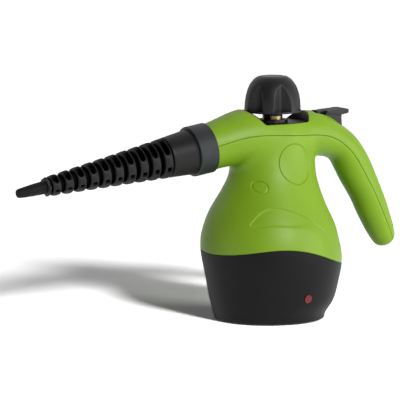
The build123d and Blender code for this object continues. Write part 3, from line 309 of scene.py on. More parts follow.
# Heater and its guards
# A sheathed steel element is cast into the floor of the boiler's pan, and a disc thermostat is clipped below it. A
# ceramic thermal fuse lies against the pan's side under a riveted steel strap.
CERAMIC = (0.74, 0.71, 0.64)
ceramic = plastic("fuse_ceramic", CERAMIC, roughness=0.45, grain=0.0006, grain_height=0.00001, cloud=0.04)
dress(zinc, "heating_element", "thermostat", "fuse_clip")
dress(ceramic, "thermal_fuse")


# Indicator lamp
# A clear red lens is pushed through the base's wall from inside and held by its lip, with a small neon lamp in a
# black holder behind it. Small facets, 0.9 mm apart, are moulded into the lens.
LENS_RED = (0.22, 0.010, 0.016, 1)
LENS_FACETS = 1100.0
LENS_FACET_H = 0.0004
GLASS_WARM = (0.95, 0.85, 0.80, 1)
BLACK = (0.0135, 0.0135, 0.0135)


def lens_plastic():
    """Clear red plastic over facets: bump = distance to the nearest of points scattered at the facets' pitch."""
    material, shade = empty_material("lamp_red")
    place = shade.node("TexCoord", {}, {}, "Object")
    cells = shade.node("TexVoronoi", {"feature": "F1"}, {"Vector": place, "Scale": LENS_FACETS})
    facets = shade.node("Bump", {}, {"Height": cells, "Distance": LENS_FACET_H, "Strength": 1.0})
    skin = shade.node("BsdfPrincipled", {}, {
        "Base Color": LENS_RED, "Roughness": 0.30, "Normal": facets, "Coat Weight": 0.2, "Coat Roughness": 0.06,
        "Specular IOR Level": 0.2})
    shade.node("OutputMaterial", {}, {"Surface": skin})
    return material


def lamp_glass():
    """Clear thin glass, slightly warm: roughness = a little of a fine noise."""
    material, shade = empty_material("lamp_glass")
    place = shade.node("TexCoord", {}, {}, "Object")
    haze = shade.node("TexNoise", {}, {"Vector": place, "Scale": 300.0})
    skin = shade.node("BsdfPrincipled", {}, {
        "Base Color": GLASS_WARM, "Roughness": 0.04 + haze * 0.05, "Transmission Weight": 0.9})
    shade.node("OutputMaterial", {}, {"Surface": skin})
    return material


black = plastic("black_plastic", BLACK, roughness=0.50)
dress(lens_plastic(), "lamp_lens")
dress(lamp_glass(), "lamp_bulb")
dress(black, "lamp_socket")


# Cord inlet
# A rubber bush with a lip inside and a collar outside closes the hole low in the rear of the base. A black terminal
# block inside clamps the wires.
dress(rubber, "cord_inlet")
dress(black, "terminal_block")


# Filler neck
# The neck is turned from brass and screwed into the boiler's boss. A thin black slotted nut on it clamps the liner
# and the housing down.
BRASS = (0.34, 0.26, 0.12)
brass = metal("turned_brass", BRASS, roughness=0.34, grain=0.0006, grain_height=0.000008, turned=1.0)
dress(brass, "filler_neck")
dress(black, "neck_nut")


# Steam valve
# A brass valve body stands on the boiler beside the neck. Its plunger is pushed down against a spring by a flat steel
# lever that the trigger's arm tips, and a milky silicone pipe takes the steam to the outlet.
SILICONE = (0.66, 0.66, 0.63)
silicone = plastic("milky_silicone", SILICONE, roughness=0.42, grain=0.0010, grain_height=0.00001, cloud=0.03)
dress(brass, "valve_body", "valve_plunger")
dress(zinc, "valve_spring", "valve_lever", "lever_pin")
dress(silicone, "steam_pipe")


# Steam outlet
# A black spigot with two bayonet lugs is clamped in the spout's mouth. It carries a rubber ring seal, and the nozzle
# locks on its lugs.
dress(black, "outlet_spigot")
dress(rubber, "outlet_seal")


# Green housing
# Two satin green ABS mouldings: the body with the lower halves of spout and handle, and the top cover that closes
# both from above. Both are open shells with a rounded lip at every edge, and the neck's nut clamps them down.
MM = 0.001
GREEN = (0.250, 0.448, 0.014)
BULB_R = 67.3 * MM
BRIDGE_Z = 179.0 * MM
FOOT_H = 1.0 * MM
BULB_H = 1.095 * BRIDGE_Z - FOOT_H
# height, centre, half width along X and along Y; the first is a share of the bulb's height, the rest of its radius
BULB_SHARES = (
    (0.0, -0.045, 0.804, 0.804),
    (0.0694, -0.022, 0.868, 0.868),
    (0.1517, 0.0, 0.937, 0.937),
    (0.2314, 0.004, 0.983, 0.983),
    (0.3111, -0.008, 1.017, 1.017),
    (0.3933, -0.044, 0.999, 0.999),
    (0.4730, -0.048, 0.943, 0.943),
    (0.5527, -0.056, 0.838, 0.834),
    (0.6350, -0.025, 0.723, 0.703),
    (0.7172, 0.0, 0.639, 0.594),
    (0.7943, 0.0, 0.636, 0.535),
    (0.8766, 0.0, 0.609, 0.498),
    (0.9486, 0.0, 0.535, 0.453),
    (1.0, 0.0, 0.446, 0.371),
)
SPOUT_REACH = 72.2 * MM
SPOUT_R = 22.3 * MM
NOZZLE_TILT = 9.05
# place along -X in reaches, drop under the bridge, slope in nozzle tilts, half height, half width; lengths in radii
SPOUT_SHARES = (
    (1.0, 0.401, 1.0, 1.0, 1.0),
    (0.762, 0.220, 1.30, 1.063, 1.143),
    (0.540, 0.087, 1.0, 1.179, 1.278),
    (0.277, 0.009, 0.56, 1.247, 1.368),
)
HANDLE_REACH = 135.4 * MM
GRIP_T = 17.4 * MM
GRIP_W = 19.0 * MM
# place along X in reaches, height in bridge heights, slope in degrees, half thickness and half width in the grip's
HANDLE_SHARES = (
    (0.0000, 0.9916, 0, 1.322, 1.447),
    (0.1034, 0.9944, -0.5, 1.270, 1.395),
    (0.2068, 0.9966, -2, 1.275, 1.342),
    (0.3102, 0.9935, -6, 1.280, 1.263),
    (0.4062, 0.9800, -14, 1.190, 1.137),
    (0.4874, 0.9500, -27, 1.015, 1.053),
    (0.5680, 0.9128, -40, 0.960, 1.005),
    (0.6330, 0.8480, -54, 0.994, 0.984),
    (0.6810, 0.7838, -61, 1.011, 0.963),
    (0.7319, 0.7140, -62, 0.958, 0.937),
    (0.7821, 0.6425, -64.5, 0.908, 0.905),
    (0.8264, 0.5698, -66, 0.895, 0.868),
    (0.8708, 0.4961, -66, 0.830, 0.805),
    (0.9158, 0.4257, -64, 0.745, 0.705),
    (0.9572, 0.3609, -62, 0.550, 0.545),
)
ROW_STEP = 1.0 * MM
ROW_BLUR = 4.0 * MM
TAIL_EDGE_R = 7.0 * MM
THROAT_R = 7.0 * MM
# for finding the row at each point, and a field's slope
PLACE_CHUNK = 20000
PLACE_ROUNDS = 5
PLACE_STEP = 0.8
FEEL_STEP = 0.05 * MM


def even_rows(places, table):
    """Rows of a table at even steps: a cubic through the given rows, whose slope at a row is the slope between its
    neighbours, carried on straight past both ends and then averaged with a narrow bell."""
    slopes = np.gradient(table, places, axis=0)
    pad = int(3 * ROW_BLUR / ROW_STEP)
    count = int(round((places[-1] - places[0]) / ROW_STEP))
    at = places[0] + ROW_STEP * np.arange(-pad, count + pad + 1)
    held = np.clip(at, places[0], places[-1])
    row = np.clip(np.searchsorted(places, held) - 1, 0, len(places) - 2)
    gap = (places[row + 1] - places[row])[:, None]
    part = (held - places[row])[:, None] / gap
    rise = part * part * (3 - 2 * part)
    cubic = (table[row] * (1 - rise) + table[row + 1] * rise
             + gap * part * (1 - part) * (slopes[row] * (1 - part) - slopes[row + 1] * part))
    beyond = (at - held)[:, None]
    cubic += np.minimum(beyond, 0) * slopes[0] + np.maximum(beyond, 0) * slopes[-1]
    bell = np.exp(-0.5 * (np.arange(-pad, pad + 1) * ROW_STEP / ROW_BLUR) ** 2)
    bell /= bell.sum()
    return np.stack([np.convolve(column, bell, "valid") for column in cubic.T], axis=1)


def length_along(points):
    """Running length of a flat path at each of its points."""
    return np.concatenate([[0], np.cumsum(np.hypot(*np.diff(points, axis=0).T))])


def bulb_rows():
    """Centre and half widths of the bulb at even heights."""
    shares = np.array(BULB_SHARES)
    return even_rows(shares[:, 0] * BULB_H + FOOT_H, shares[:, 1:] * BULB_R)


def arm_rows():
    """Ovals of the bent arm from the spout's mouth over the bridge to the handle's tail."""
    rows = [(-x * SPOUT_REACH, BRIDGE_Z - drop * SPOUT_R, math.radians(slope * NOZZLE_TILT), tall * SPOUT_R,
             wide * SPOUT_R) for x, drop, slope, tall, wide in SPOUT_SHARES]
    rows += [(x * HANDLE_REACH, z * BRIDGE_Z, math.radians(slope), thick * GRIP_T, wide * GRIP_W)
             for x, z, slope, thick, wide in HANDLE_SHARES]
    rows = np.array(rows)
    return even_rows(length_along(rows[:, :2]), rows)


BULB_ROWS = bulb_rows()
ARM_ROWS = arm_rows()


def oval_distance(across, along, half_across, half_along):
    """Distance from an oval's edge, to first order: (q - 1) over the length of q's gradient. Here q = root of
    (across / half across) squared + (along / half along) squared, which is 1 on the edge."""
    number = np.sqrt((across / half_across) ** 2 + (along / half_along) ** 2) + 1e-9
    steep = np.sqrt((across / half_across ** 2) ** 2 + (along / half_along ** 2) ** 2) + 1e-9
    return (number - 1) * number / steep


def row_values(rows, place):
    """Rows at places between their whole numbers, mixed straight from the two next to each place."""
    low = np.clip(np.floor(place).astype(int), 0, len(rows) - 2)
    part = (place - low)[..., None]
    return rows[low] * (1 - part) + rows[low + 1] * part


def bulb_field(x, y, z):
    """Distance outside the bulb: that from the oval at each point's height, or over the bulb's top."""
    place = np.clip((z - FOOT_H) / ROW_STEP, 0, len(BULB_ROWS) - 1)
    centre, half_x, half_y = np.moveaxis(row_values(BULB_ROWS, place), -1, 0)
    return np.maximum(oval_distance(x - centre, y, half_x, half_y), z - FOOT_H - BULB_H)


def arm_place(x, z):
    """Row number whose plane holds each point: the nearest row first, then steps along the rows' own direction."""
    flat_x, flat_z = np.ravel(x), np.ravel(z)
    place = np.empty(flat_x.size)
    for start in range(0, flat_x.size, PLACE_CHUNK):
        part = slice(start, start + PLACE_CHUNK)
        away = (flat_x[part, None] - ARM_ROWS[:, 0]) ** 2 + (flat_z[part, None] - ARM_ROWS[:, 1]) ** 2
        place[part] = np.argmin(away, axis=1)
    for _ in range(PLACE_ROUNDS):
        row = row_values(ARM_ROWS, place)
        ahead = (flat_x - row[:, 0]) * np.cos(row[:, 2]) + (flat_z - row[:, 1]) * np.sin(row[:, 2])
        place = np.clip(place + PLACE_STEP * ahead / ROW_STEP, 0, len(ARM_ROWS) - 1)
    return place.reshape(np.shape(x))


def rounded_both(first, second, radius):
    """Space inside both of two distances, with the edge between them rounded."""
    corner = np.hypot(np.maximum(first + radius, 0), np.maximum(second + radius, 0))
    return np.minimum(-radius, np.maximum(first, second)) + corner


def arm_distance(row, x, y, z):
    """Distance outside the arm, from the oval whose plane holds each point, with its tail's edge rounded."""
    across = (z - row[..., 1]) * np.cos(row[..., 2]) - (x - row[..., 0]) * np.sin(row[..., 2])
    side = oval_distance(across, y, row[..., 3], row[..., 4])
    end = ARM_ROWS[-1]
    past = (x - end[0]) * math.cos(end[2]) + (z - end[1]) * math.sin(end[2])
    return rounded_both(side, past + 0 * side, TAIL_EDGE_R)


def smooth_less(first, second, soft):
    """The smaller of two values, drawn down by up to a quarter of soft where they differ by less than soft."""
    share = np.clip(0.5 + 0.5 * (first - second) / soft, 0, 1)
    return first * (1 - share) + second * share - soft * share * (1 - share)


def housing_field(x, y, z):
    """Distance outside bulb and arm as one skin: the smooth lesser of the two, which rounds the throat."""
    row = row_values(ARM_ROWS, arm_place(x, z))
    return smooth_less(arm_distance(row, x, y, z), bulb_field(x, y, z), THROAT_R)


def normals_of(points, field=housing_field):
    """Unit normals and slope of a field, from small steps both ways along each axis."""
    grad = np.empty_like(points)
    for axis, shift in enumerate(np.eye(3) * FEEL_STEP):
        grad[:, axis] = (field(*(points + shift).T) - field(*(points - shift).T)) / (2 * FEEL_STEP)
    length = np.linalg.norm(grad, axis=1, keepdims=True) + 1e-12
    return grad / length, length[:, 0]


def onto_skin(points, rounds=2):
    """Move points along the housing field's slope until the field is zero there."""
    for _ in range(rounds):
        normal, slope = normals_of(points)
        points = points - normal * (housing_field(*points.T) / slope)[:, None]
    return points


def skin_mesh(low, high, pitch):
    """Closed skin where the housing's field is zero: one point in each grid cell that the skin passes, at the mean
    of the crossings on its edges, and two triangles round each crossed grid edge."""
    axes = [np.arange(a, b + pitch, pitch) for a, b in zip(low, high)]
    x, z = np.meshgrid(axes[0], axes[2], indexing="ij")
    row = row_values(ARM_ROWS, arm_place(x, z))[:, None]
    x, y, z = x[:, None], axes[1][None, :, None], z[:, None]
    value = smooth_less(arm_distance(row, x, y, z), bulb_field(x, y, z), THROAT_R)
    inside = value < 0
    cells = tuple(n - 1 for n in value.shape)
    total = np.zeros(cells + (3,))
    hits = np.zeros(cells)
    crossed = []
    for axis in range(3):
        first = tuple(slice(None, -1 if k == axis else None) for k in range(3))
        second = tuple(slice(1 if k == axis else None, None) for k in range(3))
        place = np.argwhere(inside[first] != inside[second])
        at = tuple(place.T)
        part = value[first][at] / (value[first][at] - value[second][at])
        point = place.astype(float)
        point[:, axis] += part
        ring = [place + np.insert(shift, axis, 0) for shift in ((-1, -1), (0, -1), (0, 0), (-1, 0))]
        good = np.all([(cell >= 0).all(1) & (cell < cells).all(1) for cell in ring], axis=0)
        for cell in ring:
            np.add.at(total, tuple(cell[good].T), point[good])
            np.add.at(hits, tuple(cell[good].T), 1)
        turned = inside[first][at] == (axis != 1)
        crossed.append((np.array(ring)[:, good], turned[good]))
    index = np.full(cells, -1)
    index[hits > 0] = np.arange((hits > 0).sum())
    points = total[hits > 0] / hits[hits > 0][:, None] * pitch + np.array([a[0] for a in axes])
    quads = []
    for ring, turned in crossed:
        corner = np.stack([index[tuple(cell.T)] for cell in ring], axis=1)
        corner[~turned] = corner[~turned][:, ::-1]
        quads.append(corner)
    quads = np.concatenate(quads)
    faces = np.concatenate([quads[:, [0, 1, 2]], quads[:, [0, 2, 3]]])
    return points, faces


def score(points, faces, value, reach):
    """Draw the line where a value of space is zero into the mesh. Points within reach of it are moved onto it, and
    each face that it still crosses is split there, in two through a corner or in three. In the splits 0 to 2 are
    the face's corners, counted from a crossed edge, and 3 to 5 the crossings that follow them."""
    number = value(*points.T)
    near = np.abs(number) < reach
    if near.any():
        normal, slope = normals_of(points[near], value)
        points[near] -= normal * (number[near] / slope)[:, None]
        number[near] = 0.0
    side = np.sign(number)
    ends = np.stack([faces, np.roll(faces, -1, axis=1)], axis=2)
    crosses = side[ends[..., 0]] * side[ends[..., 1]] < 0
    cut_ends = np.sort(ends[crosses], axis=1)
    pairs, which = np.unique(cut_ends, axis=0, return_inverse=True)
    if not len(pairs):
        return points, faces
    weight = number[pairs[:, 0]] / (number[pairs[:, 0]] - number[pairs[:, 1]])
    fresh = points[pairs[:, 0]] * (1 - weight)[:, None] + points[pairs[:, 1]] * weight[:, None]
    new = np.full(crosses.shape, -1)
    new[crosses] = len(points) + which.ravel()
    points = np.concatenate([points, fresh])
    times = crosses.sum(axis=1)
    single, double = np.flatnonzero(times == 1), np.flatnonzero(times == 2)
    parts = [faces[times == 0]]
    for which, turn, splits in (
            (single, np.argmax(crosses[single], axis=1), ((0, 3, 2), (3, 1, 2))),
            (double, np.argmin(crosses[double], axis=1) + 2, ((0, 3, 5), (3, 1, 2), (3, 2, 5)))):
        order = (turn[:, None] + np.arange(3)) % 3
        corners = np.concatenate([np.take_along_axis(ids[which], order, axis=1) for ids in (faces, new)], axis=1)
        parts += [corners[:, list(split)] for split in splits]
    return points, np.concatenate(parts)


# The seam in bulb radii, and the parting line in handle reaches and bridge heights, as the side view shows them
SEAM_SHARES = ((-1.3, 0.94), (-0.876, 1.035), (-0.485, 1.107), (0.0, 1.07), (0.515, 0.906), (0.876, 0.80),
               (1.3, 0.74))
PARTING_SHARES = (
    (-0.62, 0.955), (-0.532, 0.969), (-0.295, 1.011), (-0.126, 1.0155), (0.126, 1.0055), (0.325, 0.993),
    (0.4136, 0.9765), (0.5022, 0.941), (0.5720, 0.8965), (0.6280, 0.846), (0.6920, 0.771), (0.7480, 0.704),
    (0.8035, 0.629), (0.8610, 0.543), (0.9330, 0.441), (0.9950, 0.342),
)
SEAM_GAP = 0.25 * MM
LIP_R = 0.55 * MM
LIP_SHARES = (0.0, 0.15, 0.45, 1.0)
SHELL_T = 2.3 * MM
SHELL_PITCH = 1.5 * MM
SHELL_LOW = (-0.080, -0.072, 0.048)
SHELL_HIGH = (0.138, 0.072, 0.212)
SHELL_REACH = (0.30, 0.04)
CURVE_SAMPLES = 1200
WELL_Z = BRIDGE_Z + 12.5 * MM
WELL_R = 35.2 * MM
WELL_CORNER_R = 1.2 * MM
SLOT_FRONT = 42.8 * MM
SLOT_REAR = 77.0 * MM
SLOT_HALF = 9.1 * MM
SLOT_CORNER_R = 1.0 * MM
SLOT_FLOOR = 176.0 * MM


def curve_through(points):
    """Smooth curve through points, by chord length: the cubic whose bend changes evenly from point to point and is
    zero at both ends, sampled closely."""
    points = np.array(points)
    chord = np.linalg.norm(np.diff(points, axis=0), axis=1)
    place = np.concatenate([[0], np.cumsum(chord)])
    count = len(points)
    system = np.eye(count)
    pull = np.zeros((count, 2))
    for k in range(1, count - 1):
        system[k, k - 1:k + 2] = chord[k - 1], 2 * (chord[k - 1] + chord[k]), chord[k]
        pull[k] = 6 * ((points[k + 1] - points[k]) / chord[k] - (points[k] - points[k - 1]) / chord[k - 1])
    bend = np.linalg.solve(system, pull)
    at = np.linspace(0, place[-1], CURVE_SAMPLES)
    row = np.clip(np.searchsorted(place, at) - 1, 0, count - 2)
    after = (at - place[row])[:, None]
    before = (place[row + 1] - at)[:, None]
    gap = chord[row][:, None]
    return ((bend[row] * before ** 3 + bend[row + 1] * after ** 3) / (6 * gap)
            + (points[row] / gap - bend[row] * gap / 6) * before
            + (points[row + 1] / gap - bend[row + 1] * gap / 6) * after)


def over_line(shares, size_x, size_z):
    """Value of space: the height over a smooth line in the side view, measured square to the line. Its points are
    given as shares of two sizes."""
    line_x, line_z = curve_through([(x * size_x, z * size_z) for x, z in shares]).T
    slope = np.gradient(line_z, line_x)

    def value(x, y, z):
        """(z - the line's height at x) x the cosine of the line's lean there."""
        return (z - np.interp(x, line_x, line_z)) * np.cos(np.arctan(np.interp(x, line_x, slope)))
    return value


seam_value = over_line(SEAM_SHARES, BULB_R, BULB_R)
parting_value = over_line(PARTING_SHARES, HANDLE_REACH, BRIDGE_Z)


def mouth_value(x, y, z):
    """Distance behind the spout's mouth plane, for places higher than two mouths under it."""
    start = ARM_ROWS[0]
    behind = (x - start[0]) * math.cos(start[2]) + (z - start[1]) * math.sin(start[2])
    return np.maximum(behind, start[1] - 2 * SPOUT_R - z)


def well_value(x, y, z):
    """Distance outside the round well of the cap."""
    return rounded_both(np.hypot(x, y) - WELL_R, WELL_Z - z, WELL_CORNER_R)


def slot_value(x, y, z):
    """Distance outside the trigger's slot, a box with rounded corners."""
    across = np.abs(y) - SLOT_HALF
    along = np.abs(x - (SLOT_FRONT + SLOT_REAR) / 2) - (SLOT_REAR - SLOT_FRONT) / 2
    return np.maximum(rounded_both(across, along, SLOT_CORNER_R), SLOT_FLOOR - z)


# Moulded lines on both flanks: a large and a small ring, and a long leaf-shaped recess under them
RING_PLACE = (5.0 * MM, 153.6 * MM)
RING_HALF = (17.6 * MM, 19.0 * MM)
DOT_PLACE = (-31.6 * MM, 132.8 * MM)
DOT_HALF = (5.9 * MM, 5.5 * MM)
LEAF_TOP = ((-49.3, 98.1), (-41.2, 107.2), (-32.0, 113.0), (-22.4, 114.2), (-11.5, 111.6), (-0.9, 107.1),
            (10.2, 100.7), (22.3, 92.4), (34.2, 83.9))
LEAF_FOOT = ((-49.3, 98.1), (-43.6, 96.4), (-34.7, 97.4), (-25.1, 97.6), (-9.7, 95.9), (0.3, 93.3), (12.0, 89.6),
             (34.2, 80.0))
LINE_HALF = 0.7 * MM
LINE_DEPTH = 0.75 * MM
LEAF_DEPTH = 0.85 * MM
LEAF_FADE = (-15.0 * MM, 20.0 * MM, 34.0 * MM)
LEAF_FOOT_RISE = (1.0 * MM, 14.0 * MM)


def about_oval(place, half):
    """Value of space: the distance from an oval drawn in the side view."""
    return lambda x, y, z: oval_distance(z - place[1], x - place[0], half[1], half[0])


ring_value = about_oval(RING_PLACE, RING_HALF)
dot_value = about_oval(DOT_PLACE, DOT_HALF)
leaf_top_value = over_line(LEAF_TOP, MM, MM)
leaf_foot_value = over_line(LEAF_FOOT, MM, MM)


def ease(value, low, high):
    """0 below low, 1 above high and a smooth rise between."""
    part = np.clip((value - low) / (high - low), 0, 1)
    return part * part * (3 - 2 * part)


def relief(points):
    """How far the skin is drawn in by the moulded lines: a rounded groove along both rings, and the leaf, which is
    sharp along its top and fades out towards its foot and its rear end."""
    x, y, z = points.T
    groove = np.zeros(len(points))
    for value in (ring_value, dot_value):
        groove = np.maximum(groove, 1 - ease(np.abs(value(x, y, z)), 0, LINE_HALF))
    inside = ease(-leaf_top_value(x, y, z), 0, LINE_HALF)
    rise = LEAF_FOOT_RISE[0] + LEAF_FOOT_RISE[1] * ease(x, *LEAF_FADE[:2])
    inside = inside * ease(leaf_foot_value(x, y, z), -LINE_HALF, rise) * (1 - ease(x, *LEAF_FADE[1:]))
    inside = inside * (x > LEAF_TOP[0][0] * MM)
    return LINE_DEPTH * groove + LEAF_DEPTH * inside


def lip(distance, radius=LIP_R):
    """Depth of a quarter-round edge at a distance from it: r - root of (r squared - (r - distance) squared)."""
    part = np.clip(1 - distance / radius, 0, 1)
    return radius * (1 - np.sqrt(1 - part * part))


def make_shell(name, points, faces, edges):
    """Solid shell from the faces of a skin inside its edges, behind the mouth and outside the well. Its outside is
    the skin drawn in by its lips or its moulded lines, whichever are deeper, and its inside the skin a wall in."""
    centre = points[faces].mean(axis=1).T
    faces = faces[(edges(*centre) > 0) & (mouth_value(*centre) > 0) & (well_value(*centre) > 0)]
    used, index = np.unique(faces, return_inverse=True)
    skin = points[used]
    normal, _ = normals_of(skin)
    depth = np.maximum(lip(np.maximum(edges(*skin.T), 0)), relief(skin))
    return close_shell(name, skin - normal * depth[:, None], skin - normal * SHELL_T, index.reshape(faces.shape))


def close_shell(name, outer, inner, faces):
    """Piece from an outer and an inner copy of the same faces, with a band that joins them along every open edge."""
    ends = np.concatenate([faces[:, [0, 1]], faces[:, [1, 2]], faces[:, [2, 0]]])
    _, first, times = np.unique(np.sort(ends, axis=1), axis=0, return_index=True, return_counts=True)
    rim = ends[first[times == 1]]
    count = len(outer)
    band = np.concatenate([np.stack([rim[:, 1], rim[:, 0], rim[:, 0] + count], 1),
                           np.stack([rim[:, 1], rim[:, 0] + count, rim[:, 1] + count], 1)])
    triangles = np.concatenate([faces, faces[:, ::-1] + count, band])
    return make_piece(name, np.concatenate([outer, inner]), triangles)


def make_piece(name, points, faces, sharp=40.0):
    """Mesh object from arrays of points and faces, smooth but for edges that turn by more than the given angle."""
    mesh = bpy.data.meshes.new(name)
    mesh.from_pydata(points.tolist(), [], faces.tolist())
    mesh.validate()
    mesh.shade_smooth()
    mesh.set_sharp_from_angle(angle=math.radians(sharp))
    return add_object(name, mesh)


skin_points, skin_faces = skin_mesh(SHELL_LOW, SHELL_HIGH, SHELL_PITCH)
skin_points = onto_skin(skin_points)
edge_values = (
    (seam_value, 0, 1), (parting_value, 0, 1), (parting_value, -SEAM_GAP, -1), (mouth_value, 0, 1),
    (well_value, 0, 1), (slot_value, 0, 1),
)
scored = [(value, start + way * share * LIP_R) for value, start, way in edge_values for share in LIP_SHARES]
for value in (ring_value, dot_value):
    scored += [(value, level) for level in (0, -LINE_HALF / 2, LINE_HALF / 2, -LINE_HALF, LINE_HALF)]
scored += [(leaf_top_value, level) for level in (0, -LINE_HALF / 2, -LINE_HALF)]
scored += [(leaf_foot_value, level) for level in (-LINE_HALF, 0, LEAF_FOOT_RISE[0])]
done = set()
for value, level in scored:
    reach = SHELL_REACH[value in done] * SHELL_PITCH
    done.add(value)
    skin_points, skin_faces = score(skin_points, skin_faces, lambda x, y, z: value(x, y, z) - level, reach)
skin_points = onto_skin(skin_points, rounds=1)


def body_edges(x, y, z):
    """Distance inside the seam and the parting line."""
    return np.minimum(seam_value(x, y, z), -SEAM_GAP - parting_value(x, y, z))


def cover_edges(x, y, z):
    """Distance inside the parting line, the well and the slot."""
    return np.minimum(parting_value(x, y, z), np.minimum(well_value(x, y, z), slot_value(x, y, z)))


body = make_shell("green_body", skin_points, skin_faces, body_edges)
cover = make_shell("green_cover", skin_points, skin_faces, cover_edges)
green = plastic("green_plastic", GREEN, roughness=0.48, grain=0.0005, cloud=0.04, shine=0.42)
for piece, node in ((body, "body_shell"), (cover, "top_cover")):
    piece.data.materials.append(green)
    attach(piece, "root")
    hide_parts(node)


# Well liner
# A black dish with a low wall at front and rear lines the well under the cap, so no steam reaches the housing. The
# neck passes through it, and its nut holds it.
LINER_BLACK = (0.0040, 0.0044, 0.0036)
liner = plastic("liner_plastic", LINER_BLACK, roughness=0.40, shine=0.15)
dress(liner, "well_liner")


# Trigger and lock
# The thumb plate, its stem and the arm below are one black moulding on a steel pin with a torsion spring. A black
# lock with a thin bill slides in the slot in front of it.
MATT_BLACK = (0.0120, 0.0120, 0.0120)
matt_black = plastic("matt_black_plastic", MATT_BLACK, roughness=0.62, grain_height=0.00003)
dress(matt_black, "trigger", "trigger_lock")
dress(zinc, "trigger_pin", "trigger_spring")


# Cap works
# The brass plug screws onto the neck over a rubber seal. A relief valve sits in it under a spring and a stop, and the
# wide cap spring lifts the outer shell off the plug's dogs until it is pressed.
dress(brass, "cap_plug", "relief_poppet")
dress(rubber, "cap_seal")
dress(zinc, "relief_spring", "relief_stop", "cap_spring")


# Cap shell
# The safety cap is one black moulding: a bell with six upright finger flutes, each of two flat walls that meet in a
# crease. They end in a thin rim below and run out in a pointed arch on the dome.
CAP_BLACK = (0.0110, 0.0110, 0.0110)
CAP_RIM_Z = WELL_Z + 9.5 * MM
CAP_SIDE = (
    (27.90, 0.00), (27.78, 4.00), (27.50, 8.00), (27.05, 12.00), (26.25, 16.01), (25.45, 18.69), (24.55, 21.33),
    (23.50, 23.90), (22.20, 26.36), (20.65, 28.66), (18.95, 30.74), (17.20, 32.33), (15.30, 33.64), (13.20, 34.48),
    (11.00, 34.80), (6.00, 34.80), (0.00, 34.80),
)
CAP_CAVITY = ((0.00, 16.80), (18.50, 16.80), (18.50, 2.20), (9.90, 2.20), (9.90, 0.00), (27.30, 0.00))
CAP_RIM_H = 1.9 * MM
CAP_RIM_ROUND = 0.5 * MM
CAP_LEDGE = (0.01 * MM, 0.4 * MM)
CAP_ROW_GAP = 0.1 * MM
CAP_ROWS = 110
CAP_COLUMNS = 360
FLUTE_COUNT = 6
FLUTE_TURN = math.radians(22.0)
FLUTE_FLOOR = 20.7 * MM
FLUTE_WALL = math.radians(52.0)
CREASE_SOFT = math.radians(4.0)
FLUTE_LEAN = 0.5 * MM
FLUTE_TOP = 27.0 * MM
FLUTE_SOFT = 0.7 * MM
WELDS_PER_METRE = 1e7


def grid_faces(index):
    """Two triangles for each square of a grid of point numbers."""
    here, right, up, both = index[:-1, :-1], index[:-1, 1:], index[1:, :-1], index[1:, 1:]
    return np.concatenate([np.stack([here, right, both], -1).reshape(-1, 3),
                           np.stack([here, both, up], -1).reshape(-1, 3)])


def ring_faces(rows, columns):
    """Triangles between neighbouring rings of points, each ring closed on itself."""
    index = np.arange(rows * columns).reshape(rows, columns)
    return grid_faces(np.concatenate([index, index[:, :1]], axis=1))


def weld(points, faces):
    """Join points that lie in one place, and drop the faces that this folds up."""
    _, first, index = np.unique(np.round(points * WELDS_PER_METRE).astype(np.int64), axis=0, return_index=True,
                                return_inverse=True)
    faces = index.reshape(-1)[faces]
    whole = (faces[:, 0] != faces[:, 1]) & (faces[:, 1] != faces[:, 2]) & (faces[:, 2] != faces[:, 0])
    return points[first], faces[whole], first


def flute_radius(turn, height):
    """Radius of the flutes at a turn and a height over the rim: the crease's radius x sine of the wall's angle / sine
    of (the wall's angle - the turn off the crease). The crease's radius grows with the square of the height."""
    pitch = 2 * math.pi / FLUTE_COUNT
    off = np.hypot((turn - FLUTE_TURN + pitch / 2) % pitch - pitch / 2, CREASE_SOFT) - CREASE_SOFT
    crease = FLUTE_FLOOR + FLUTE_LEAN * (height / FLUTE_TOP) ** 2
    return crease * math.sin(FLUTE_WALL) / np.sin(FLUTE_WALL - off)


def cap_shell():
    """Rings from the cavity's ceiling out over the rim and up the bell, whose radius is the smooth lesser of the
    bell and the flutes."""
    side = curve_through([(radius * MM, height * MM) for radius, height in CAP_SIDE])
    side[:, 1] = np.minimum(side[:, 1], side[-1, 1])
    reach = length_along(side)
    at = np.linspace(0, reach[-1], CAP_ROWS)
    bell = np.stack([np.interp(at, reach, side[:, 0]), np.interp(at, reach, side[:, 1])], 1)
    rise = np.array([CAP_RIM_ROUND, CAP_RIM_H, CAP_RIM_H + CAP_LEDGE[0], CAP_RIM_H + CAP_LEDGE[1]])
    rim = np.stack([np.interp(rise, side[:, 1], side[:, 0]), rise], 1)
    cavity = np.array(CAP_CAVITY) * MM
    outline = np.concatenate([cavity, rim, bell[bell[:, 1] > rise[-1] + CAP_ROW_GAP]])
    turn = np.arange(CAP_COLUMNS) * 2 * math.pi / CAP_COLUMNS
    radius = np.repeat(outline[:, :1], CAP_COLUMNS, axis=1)
    height = np.repeat(outline[:, 1:], CAP_COLUMNS, axis=1)
    cut = smooth_less(radius, flute_radius(turn[None, :], height), FLUTE_SOFT)
    above_rim = np.arange(len(outline)) >= len(cavity) + 2
    radius = np.where(above_rim[:, None], cut, radius)
    points = np.stack([radius * np.cos(turn), radius * np.sin(turn), height + CAP_RIM_Z], -1).reshape(-1, 3)
    points, faces, _ = weld(points, ring_faces(len(outline), CAP_COLUMNS))
    return make_piece("cap_bell", points, faces, 50.0)


satin_black = plastic("cap_plastic", CAP_BLACK, roughness=0.46, shine=0.3)
bell = cap_shell()
bell.data.materials.append(satin_black)
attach(bell, "cap")
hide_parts("cap_shell")


# Nozzle collar
# The twist collar is moulded in slate plastic and carries the heat guard. It turns on the spigot's lugs to lock the
# nozzle.
SLATE = (0.024, 0.027, 0.031)
slate = plastic("slate_plastic", SLATE, roughness=0.50, grain=0.0005, grain_height=0.00003, shine=0.35)
dress(slate, "nozzle_collar")


